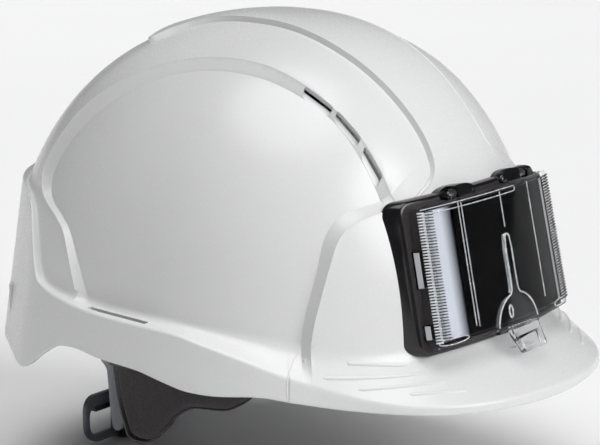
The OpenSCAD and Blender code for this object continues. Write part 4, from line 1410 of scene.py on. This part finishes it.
def make_headband():
    a = band.a
    u = np.concatenate([np.linspace(0, 1, 13) ** 1.6 * 0.28, np.linspace(0.32, 0.9, 14), [0.93, 0.96, 0.985, 1.0]])
    z = band.lo[:, None] + (band.hi - band.lo)[:, None] * u[None]
    s = np.broadcast_to(band.s[:, None], z.shape)
    d = band.inside(s, z)
    # glossy rim along the lower and rear edges of the wings, fading towards the front
    wing = sst(56, 64, np.abs(a))[:, None]
    low = 1 - sst(3, 8, z - band.lo[:, None]) * (1 - sst(97, 103, np.abs(a))[:, None])
    t = np.clip(d / rim_width(a)[:, None], 0, 1)
    rim = 0.55 * rim_width(a)[:, None] * np.sqrt(np.clip(1 - (2 * t - 1) ** 2, 0, 1)) * wing * low
    shoulder = 0.5 * (1 - np.clip(d / 1.0, 0, 1)) ** 2
    r = hb_r(a)[:, None] + rim - shoulder * (1 - wing) - 0.35 * (d < 1e-6)
    q = hb_r(a)[:, None] - 1.95 + shoulder
    aa = np.broadcast_to(a[:, None], z.shape)
    front = pol(aa, r, z)
    rear = pol(aa, q, z)
    o = strip("headband_moulded", a, front, rear, None, sharp=50)
    tabs = []
    for p in (35, 90, 270, 325):
        kr, kz = key_at(p)
        g = float(hb_r(p if p < 180 else p - 360))
        z0 = (15.5 if kz > 10 else 10.0) - kz
        tabs.append(soften(key_box("tab", p, (g - 1 - kr, -6, z0), (-16.25, 6, z0 + 3)), 0.5, 2))
    cut(o, join("tabs", tabs), op="UNION")
    tidy(o, sharp=50)
    piece(o, "helmet", "band_black", ("headband",))


def make_wing(side):
    """Suede facing that sits inside the rim of one wing, lightly stuffed."""
    cols = np.arange(60, 111.6, 0.4)
    zz = np.linspace(-40, 9, 246)
    s0 = np.interp(cols, band.a, band.s)
    d = band.inside(np.broadcast_to(s0[:, None], (len(cols), len(zz))), np.broadcast_to(zz[None], (len(cols), len(zz))))
    lo, hi = pchip(BAND_LOW, cols), pchip(BAND_HIGH, cols)
    rows, keep = [], []
    for i, c in enumerate(cols):
        ok = np.nonzero((d[i] >= float(rim_width(c)) - 0.05) & (zz > lo[i]) & (zz < hi[i]))[0]
        if len(ok) < 8:
            continue
        rows.append((zz[ok[0]], zz[ok[-1]]))
        keep.append(c)
    keep = np.array(keep)
    rows = np.array(rows)
    # the two outlines, smoothed
    k = np.array([1, 2, 3, 2, 1]) / 9
    for j in (0, 1):
        e = np.pad(rows[:, j], 2, mode="edge")
        rows[:, j] = np.convolve(e, k, "valid")
    u = np.linspace(0, 1, 29)
    u = 0.5 - 0.5 * np.cos(np.pi * u)
    z = rows[:, :1] + (rows[:, 1:] - rows[:, :1]) * u[None]
    arc = np.interp(keep, band.a, band.s)
    # distance to the facing's own edge gives the soft roll
    edge = np.minimum((z - rows[:, :1]), (rows[:, 1:] - z))
    slope = np.abs(np.gradient(rows[:, 0], arc))[:, None]
    edge = np.minimum(edge, np.minimum(edge / np.sqrt(1 + slope ** 2) + 0.02, (arc[-1] - arc)[:, None] + 0.1))
    edge = np.minimum(edge, (arc - arc[0])[:, None] + 0.1)
    puff = 1.25 * (1 - np.exp(-np.maximum(edge, 0) / 0.9))
    puff += 0.14 * np.sin(arc / 7.0)[:, None] * np.sin(z / 6.0) * np.clip(edge / 6, 0, 1)
    c = np.broadcast_to(keep[:, None] * side, z.shape)
    r = hb_r(keep)[:, None]
    front = pol(c, r + 0.06 + puff, z)
    rear = pol(c, np.broadcast_to(r + 0.05, z.shape), z)
    o = strip("wing_facing_" + ("right" if side > 0 else "left"), None, front, rear, None, sharp=None)
    piece(o, "helmet", "felt_grey", ("wing_pad_right" if side > 0 else "wing_pad_left",))


def make_sweatband():
    a = np.arange(-72, 72.01, 0.75)
    lo, hi = pchip(BAND_LOW, np.abs(a)) + 2, pchip(BAND_HIGH, np.abs(a)) - 1
    rings = []
    for i, q in enumerate(a):
        r = float(hb_r(q)) - 2.1
        h = hi[i] - lo[i]
        end = min(1.0, (72.0 - abs(q)) / 2.4 + 0.12)
        seam = min(abs(((q + 12) % 24) - 12) / 1.6, 1.0)
        full = 3.05 * math.sqrt(min(1.0, end)) * (0.62 + 0.38 * math.sqrt(seam))
        ring = []
        m = 22
        for j in range(m + 1):
            v = j / m
            b = math.sin(math.pi * v)
            edge = min(1.0, (1 - abs(2 * v - 1)) * h / 3.2)
            stitch = 0.75 * math.exp(-((min(v, 1 - v) * h - 3.4) / 0.55) ** 2)
            t = full * (math.sqrt(max(0.0, 1 - (1 - edge) ** 2)) * 0.86 + 0.14 * b) - stitch * min(1.0, end)
            ring.append(pol(np.array(q), np.array(r - max(t, 0.25)), np.array(lo[i] + 0.25 + (h - 0.5) * v)))
        for j in range(m, -1, -4):
            v = j / m
            ring.append(pol(np.array(q), np.array(r), np.array(lo[i] + 0.25 + (h - 0.5) * v)))
        rings.append(np.array(ring))
    o = loft("sweatband_padded", rings, sharp=None)
    piece(o, "helmet", "sweatband_black", ("sweatband",))


def make_strap(name, node, p, top):
    ra, _ = key_at(p)
    rb, _ = key_at(p + 180)
    za, zb = key_at(p)[1] + 1, key_at(p + 180)[1] + 1
    ra, rb = ra - 14.8, rb - 14.8
    a = math.radians(p)
    d = np.array([-math.sin(a), -math.cos(a)])
    w = np.array([math.cos(a), -math.sin(a)])
    path, norm = [], []
    for i in range(-60, 61):
        t = math.radians(90 * i / 60)
        sg = -1 if t < 0 else 1
        s, z0 = (ra, za) if t < 0 else (rb, zb)
        u = sg * s * abs(math.sin(t)) ** 0.8
        z = z0 + (top - z0) * max(math.cos(t), 0) ** 0.86
        n = np.array([sg * abs(math.sin(t)) ** 1.2 / s, max(math.cos(t), 1e-4) ** 1.14 / (top - z0)])
        path.append((u, z))
        norm.append(n / np.linalg.norm(n))
    path, norm = np.array(path), np.array(norm)
    run = np.concatenate([[0], np.cumsum(np.linalg.norm(np.diff(path, axis=0), axis=1))])
    sec = [(-10, 0.45), (-10, 0.75), (-9.7, 1.05), (-9.1, 1.15), (-8.6, 0.98), (-8.1, 1.15), (-4, 1.2), (0, 1.2), (4, 1.2),
           (8.1, 1.15), (8.6, 0.98), (9.1, 1.15), (9.7, 1.05), (10, 0.75), (10, 0.45), (9.7, 0.15), (9.1, 0.05), (4, 0.0),
           (0, 0.0), (-4, 0.0), (-9.1, 0.05), (-9.7, 0.15)]
    rings, uv = [], []
    for i in range(len(path)):
        ring = []
        for c, h in sec:
            uu = -(path[i, 0] + norm[i, 0] * h)
            zz = path[i, 1] + norm[i, 1] * h
            ring.append((d[0] * uu + w[0] * c, CY + d[1] * uu + w[1] * c, zz))
            uv.append(((c + 20) * MM, run[i] * MM))
        rings.append(np.array(ring))
    o = loft(name, rings, sharp=60, uv=uv)
    piece(o, "helmet", "webbing", (node,))
    return o, run[-1]


def make_crown_pad():
    """Stitched round pad under the crossing of the webbing."""
    nr, na = 26, 96
    rows = []
    prof = []
    for i in range(nr + 1):
        t = math.pi * i / nr                       # from the top round the edge to the underside
        x = math.sin(t)
        r = 25.6 * abs(x) ** 0.5
        z = 99.9 + (2.2 if t < math.pi / 2 else 2.6) * math.copysign(abs(math.cos(t)) ** 0.62, math.cos(t))
        prof.append((r, z))
    rings = []
    for i, (r, z) in enumerate(prof[1:-1]):
        ring = []
        for j in range(na):
            a = 2 * math.pi * j / na
            seam = math.exp(-((r * math.sin(2 * a)) / 1.0) ** 2) * (1 if 3 < r < 24 else 0)
            circle = math.exp(-((r - 18.0) / 0.7) ** 2)
            pinch = 0.7 * max(seam * 0.8, circle)
            zz = z - pinch * (1 if z > 99.9 else -1) * min(1.0, abs(z - 99.9) / 1.2)
            ring.append((r * math.cos(a), CY + r * math.sin(a), zz))
        rings.append(np.array(ring))
    body = loft("crown_pad_soft", rings, sharp=None)
    # piping round the edge
    pipe = [np.array([((25.3 + 0.55 * math.cos(b)) * math.cos(a), CY + (25.3 + 0.55 * math.cos(b)) * math.sin(a),
                       99.9 + 0.55 * math.sin(b)) for b in np.linspace(0, 2 * math.pi, 9)[:-1]])
            for a in np.linspace(0, 2 * math.pi, 97)[:-1]]
    o = join("crown_pad_soft", [body, loft("pipe", pipe, sharp=None, closed=True)])
    o.data.shade_smooth()
    piece(o, "helmet", "pad_black", ("crown_pad",))
    return o


def make_keys():
    made = []
    for p in KEYS:
        made.append(soften(key_box("hook", p, (-5.2, -9, -0.4), (-2.8, 9, 10.6)), 0.5, 2))
        made.append(soften(key_box("shelf", p, (-16.2, -11, -4), (-1.5, 11, -0.4)), 0.5, 2))
        bar = key_box("bar", p, (-16.2, -12, -4), (-14.9, 12, 4.8))
        cut(bar, key_box("slot", p, (-17, -10.6, 1.4), (-13, 10.6, 3.4)))
        made.append(soften(bar, 0.35, 2))
        for y in (-6, 0, 6):
            made.append(soften(key_box("rib", p, (-14.8, y - 0.6, -0.9), (-5.6, y + 0.6, 1.0)), 0.25, 1))
    o = join("harness_keys_moulded", made)
    o.data.shade_smooth()
    o.data.set_sharp_from_angle(angle=math.radians(40))
    piece(o, "helmet", "harness_black", ("harness_keys",))
    return o


NAPE_LO = [[0, -66], [0.12, -66], [0.2, -58], [0.27, -42], [0.34, -28], [0.45, -16], [0.6, -11], [0.8, -11], [0.87, -12.5],
           [0.925, -30], [0.955, -37], [1, -38.5], [1.05, -37.5], [1.12, -30.4], [1.55, -30.4], [1.75, -25], [2, -18]]
NAPE_HI = [[0, -20], [0.3, -12], [0.5, -6.4], [0.8, -6.4], [1, -9], [1.1, -11.6], [1.95, -11.6]]


def nape_path(t):
    t = np.asarray(t, float)
    g = np.sign(t)
    u = np.pi / 2 * np.minimum(np.abs(t), 1)
    x = np.where(np.abs(t) > 1, g * 72.6, 72.6 * g * np.abs(np.sin(u)) ** 1.33)
    y = np.where(np.abs(t) > 1, 50 - (np.abs(t) - 1) * 50, 50 + 49 * np.abs(np.cos(u)) ** 1.33)
    return np.stack([x, y], -1)


def nape_strip(name, t, rows, inner, outer, sharp=None):
    """Strip along the cradle's path; rows(t) gives heights, inner and outer offsets."""
    c = nape_path(t)
    e = 0.004
    d = unit(nape_path(t + e) - nape_path(t - e))
    m = np.stack([d[:, 1], -d[:, 0]], -1)
    z = rows

    def skin(off):
        xy = c[:, None, :] + m[:, None, :] * off[..., None]
        return np.concatenate([xy, z[..., None]], -1)
    return strip(name, None, skin(inner), skin(outer), None, sharp=sharp)


def make_cradle():
    t = np.unique(np.round(np.concatenate([np.linspace(-1.95, -1, 40), np.linspace(-1, 1, 241), np.linspace(1, 1.95, 40)]), 5))
    u = np.array([0, 0.012, 0.03, 0.055, 0.09, 0.14, 0.22, 0.32, 0.42, 0.5, 0.58, 0.68, 0.78, 0.86, 0.91, 0.945, 0.97, 0.988, 1])
    lo, hi = pchip(NAPE_LO, np.abs(t)), pchip(NAPE_HI, np.abs(t))
    z = lo[:, None] + (hi - lo)[:, None] * u[None]
    e = np.minimum(z - lo[:, None], hi[:, None] - z)
    half = 0.62 + 0.66 * np.sqrt(np.clip(1 - (1 - np.clip(e / 1.3, 0, 1)) ** 2, 0, 1))
    # raised borders on the outside, scaled to nothing
    border = np.exp(-((e - 1.6) / 0.7) ** 2) * 0.0
    o = nape_strip("nape_cradle_moulded", t, z, half, -(half + border), sharp=50)
    piece(o, "nape_unit", "cradle_grey", ("nape_cradle",))


PAD_LO = [[0.6, -8.8], [0.7, -10.5], [0.76, -14], [0.8, -17.5], [0.86, -22.5], [0.93, -28.5]]


def make_nape_pad():
    t = np.linspace(-0.93, 0.93, 171)
    lo = np.where(np.abs(t) < 0.6, pchip(NAPE_LO, np.abs(t)) + 2.2, pchip(PAD_LO, np.abs(t)))
    hi = pchip(NAPE_HI, np.abs(t)) - 0.1
    u = 0.5 - 0.5 * np.cos(np.pi * np.linspace(0, 1, 33))
    z = lo[:, None] + (hi - lo)[:, None] * u[None]
    e = np.minimum(z - lo[:, None], hi[:, None] - z)
    e = np.minimum(e, (0.93 - np.abs(t))[:, None] * 70 + 0.05)
    roll = np.sqrt(np.clip(1 - (1 - np.clip(e / 2.6, 0, 1)) ** 2, 0, 1))
    seam = np.exp(-((e - 4.2) / 0.5) ** 2)
    off = 1.5 + 3.4 * roll - 0.9 * seam
    o = nape_strip("nape_pad_soft", t, z, off, np.full_like(z, 1.38), sharp=None)
    piece(o, "nape_unit", "pad_black", ("nape_pad",))


def make_adjuster():
    h = block("adjuster_casing", (-9.6, 100.6, -67.6), (9.6, 109.6, -41.4))
    soften(h, 1.3, 3)
    for lo, hi in (((-7.8, 102.6, -61.1), (7.8, 107.6, -50.4)), ((-3.6, 105, -60.05), (3.6, 113, -51.45)),
                   ((-10.6, 103.4, -49.1), (10.6, 106.6, -42.9)), ((-10.6, 103.4, -66.1), (10.6, 106.6, -62.3))):
        cut(h, block("hole", lo, hi))
    for s in (-1, 1):
        ring = [(s * 5.7 + 2.6 * math.cos(a), 100.25, -55.75 + 2.6 * math.sin(a)) for a in np.linspace(0, 2 * math.pi, 25)[:-1]]
        cut(h, prism("boss", ring, (0, 1, 0), 0.0, 0.8), op="UNION")
        ring = [(s * 5.7 + 1.32 * math.cos(a), 99, -55.75 + 1.32 * math.sin(a)) for a in np.linspace(0, 2 * math.pi, 25)[:-1]]
        cut(h, prism("bore", ring, (0, 1, 0), 0.0, 5.0))
    # ribs on the back, above and below the button
    ribs = [soften(block("rib", (-7, 109.2, z - 0.4), (7, 110.1, z + 0.4)), 0.2, 1) for z in (-44.2, -46.0, -47.8, -63.6, -65.2)]
    cut(h, join("ribs", ribs), op="UNION")
    tidy(h, sharp=40)
    piece(h, "nape_unit", "harness_black", ("adjuster_housing",))

    b = block("button_body", (-3.3, 106, -59.75), (3.3, 111.6, -51.75))
    cut(b, soften(block("flange", (-6, 105.7, -60.75), (6, 107.3, -50.75)), 0.3, 1), op="UNION")
    soften(b, 0.5, 2, 40)
    dents = [block("groove", (-4, 111.2, z - 0.25), (4, 112.5, z + 0.25)) for z in (-58, -56.5, -55, -53.5)]
    cut(b, join("grooves", dents))
    tidy(b, sharp=35)
    piece(b, "button", "loop_grey", ("release_button",))

    # the loop: a rounded bar round an open finger gap
    def ring(hx, z0, z1, rt, rb):
        pts = []
        for cx, cz, r, a0 in ((hx - rt, z1 - rt, rt, 0), (rt - hx, z1 - rt, rt, 90), (rb - hx, z0 + rb, rb, 180), (hx - rb, z0 + rb, rb, 270)):
            for k in range(13):
                a = math.radians(a0 + 90 * k / 12)
                pts.append((cx + r * math.cos(a), cz + r * math.sin(a)))
        return np.array(pts)

    def resample(p, n=160):
        q = np.concatenate([p, p[:1]])
        s = np.concatenate([[0], np.cumsum(np.linalg.norm(np.diff(q, axis=0), axis=1))])
        k = np.linspace(0, s[-1], n + 1)[:-1]
        return np.stack([np.interp(k, s, q[:, 0]), np.interp(k, s, q[:, 1])], -1)
    outer = resample(ring(32.5, -66, -43, 6.5, 9.0))
    inner = resample(ring(30.2, -62.4, -49, 3.5, 5.8))
    out = []
    for a, b2 in ((0, 103.9), (0.0, 106.1), (0.09, 106.4), (0.2, 106.5), (0.8, 106.5), (0.91, 106.4), (1, 106.1), (1, 103.9),
                  (0.91, 103.6), (0.8, 103.5), (0.2, 103.5), (0.09, 103.6)):
        q = outer * (1 - a) + inner * a
        out.append(np.stack([q[:, 0], np.full(len(q), b2), q[:, 1]], -1))
    v = np.concatenate(out)
    f = []
    n, m = len(outer), len(out)
    for i in range(m):
        for j in range(n):
            k, l = i * n, ((i + 1) % m) * n
            f.append((k + j, k + (j + 1) % n, l + (j + 1) % n, l + j))
    o = tidy(mesh_object("adjuster_loop_moulded", v, f), sharp=50)
    piece(o, "nape_unit", "loop_grey", ("adjuster_loop",))

    # toothed strips along the inner edge of the upper bar
    for s in (-1, 1):
        pts = [(s * 10.2, -48.8), (s * 10.2, -50.3)]
        x = 10.2
        while x < 26.5:
            pts += [(s * (x + 0.55), -51.0), (s * (x + 1.1), -50.3)]
            x += 1.1
        pts += [(s * x, -48.8)]
        r = prism("rack", [(a, 103.2, b2) for a, b2 in pts], (0, 1, 0), 0.0, 3.7)
        r.name = "rack_right" if s < 0 else "rack_left"
        piece(r, "nape_unit", "harness_black")


def make_spring():
    turns, n = 3.8, 150
    a = np.linspace(0, 2 * math.pi * turns, n)
    path = np.stack([3.2 * np.cos(a), 102.92 + 2.44 * a / a[-1], -55.75 + 3.2 * np.sin(a)], -1)
    sec = [(0.29 * math.cos(b), 0.29 * math.sin(b)) for b in np.linspace(0, 2 * math.pi, 9)[:-1]]
    o = tube("spring_coil", path, sec, (0, 1, 0), sharp=None)
    piece(o, "nape_unit", "spring_steel", ("button_spring",))
    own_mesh(o)


make_headband()
make_wing(1)
make_wing(-1)
make_sweatband()
keys = make_keys()
pad = make_crown_pad()
STRAPS = {}
for name, node, p, top in (("webbing_front_right", "strap_front_right", 35, 104.0), ("webbing_side", "strap_side", 90, 105.6),
                           ("webbing_front_left", "strap_front_left", 325, 107.2)):
    o, run = make_strap(name, node, p, top)
    STRAPS[name] = round(float(run), 1)
print("webbing lengths", STRAPS)
make_cradle()
make_nape_pad()
make_adjuster()
make_spring()


# ------------------------------------------------------------ camera, light, floor
AZ, EL, DIST = math.radians(53.0), math.radians(13.0), 1.2
aim = Vector((0, 0, 0.045))
back = Vector((-math.sin(AZ) * math.cos(EL), -math.cos(AZ) * math.cos(EL), math.sin(EL)))
cam_data = bpy.data.cameras.new("camera")
cam_data.lens = 2.26 * 1200 / 600 * 36
cam_data.sensor_width = 36
cam_data.shift_x = -7.54 / 600
cam_data.shift_y = 8.31 / 600
cam_data.clip_start, cam_data.clip_end = 0.05, 60
cam = link(bpy.data.objects.new("camera", cam_data))
right = Vector((math.cos(AZ), -math.sin(AZ), 0))
up = back.cross(right)
cam.matrix_world = Matrix.Translation(aim + back * DIST) @ Matrix((right, up, back)).transposed().to_4x4()
bpy.context.scene.camera = cam
bpy.context.scene.view_settings.view_transform = "Standard"


def area(name, direction, dist, size, power, colour=(1, 1, 1), size_y=None):
    l = bpy.data.lights.new(name, "AREA")
    l.shape = "RECTANGLE"
    l.size, l.size_y = size, size_y or size
    l.energy = power
    l.color = colour
    o = link(bpy.data.objects.new(name, l))
    d = Vector(direction).normalized()
    o.location = Vector((0, 0, 0.04)) + d * dist
    o.rotation_mode = "QUATERNION"
    o.rotation_quaternion = d.to_track_quat("Z", "Y")
    return o


def sun(name, direction, strength, angle):
    l = bpy.data.lights.new(name, "SUN")
    l.energy = strength
    l.angle = math.radians(angle)
    o = link(bpy.data.objects.new(name, l))
    d = Vector(direction).normalized()
    o.location = d * 2
    o.rotation_mode = "QUATERNION"
    o.rotation_quaternion = d.to_track_quat("Z", "Y")
    return o


sun("key", (0.0, -0.86, 0.50), 2.1, 40)
sun("top", (-0.16, 0.0, 0.98), 1.85, 50)
area("back_strip", (0.50, 0.72, 0.50), 2.4, 1.3, 2)

world = bpy.data.worlds.new("studio")
world.use_nodes = True
bpy.context.scene.world = world
bg = world.node_tree.nodes["Background"]
bg.inputs[0].default_value = (0.97, 0.98, 1.0, 1)
bg.inputs[1].default_value = 0.03

bm = bmesh.new()
bmesh.ops.create_grid(bm, x_segments=24, y_segments=24, size=14.0)
fme = bpy.data.meshes.new("floor")
bm.to_mesh(fme)
bm.free()
floor = link(bpy.data.objects.new("floor", fme))
floor.location = (0, 0, cad_box[0][2] - 0.0005)
floor.data.materials.append(plastic("floor_paper", (0.92, 0.92, 0.92), (0.94, 0.94, 0.94), 0.9, 300.0, 0.00002, 2.0, spec=0.1))
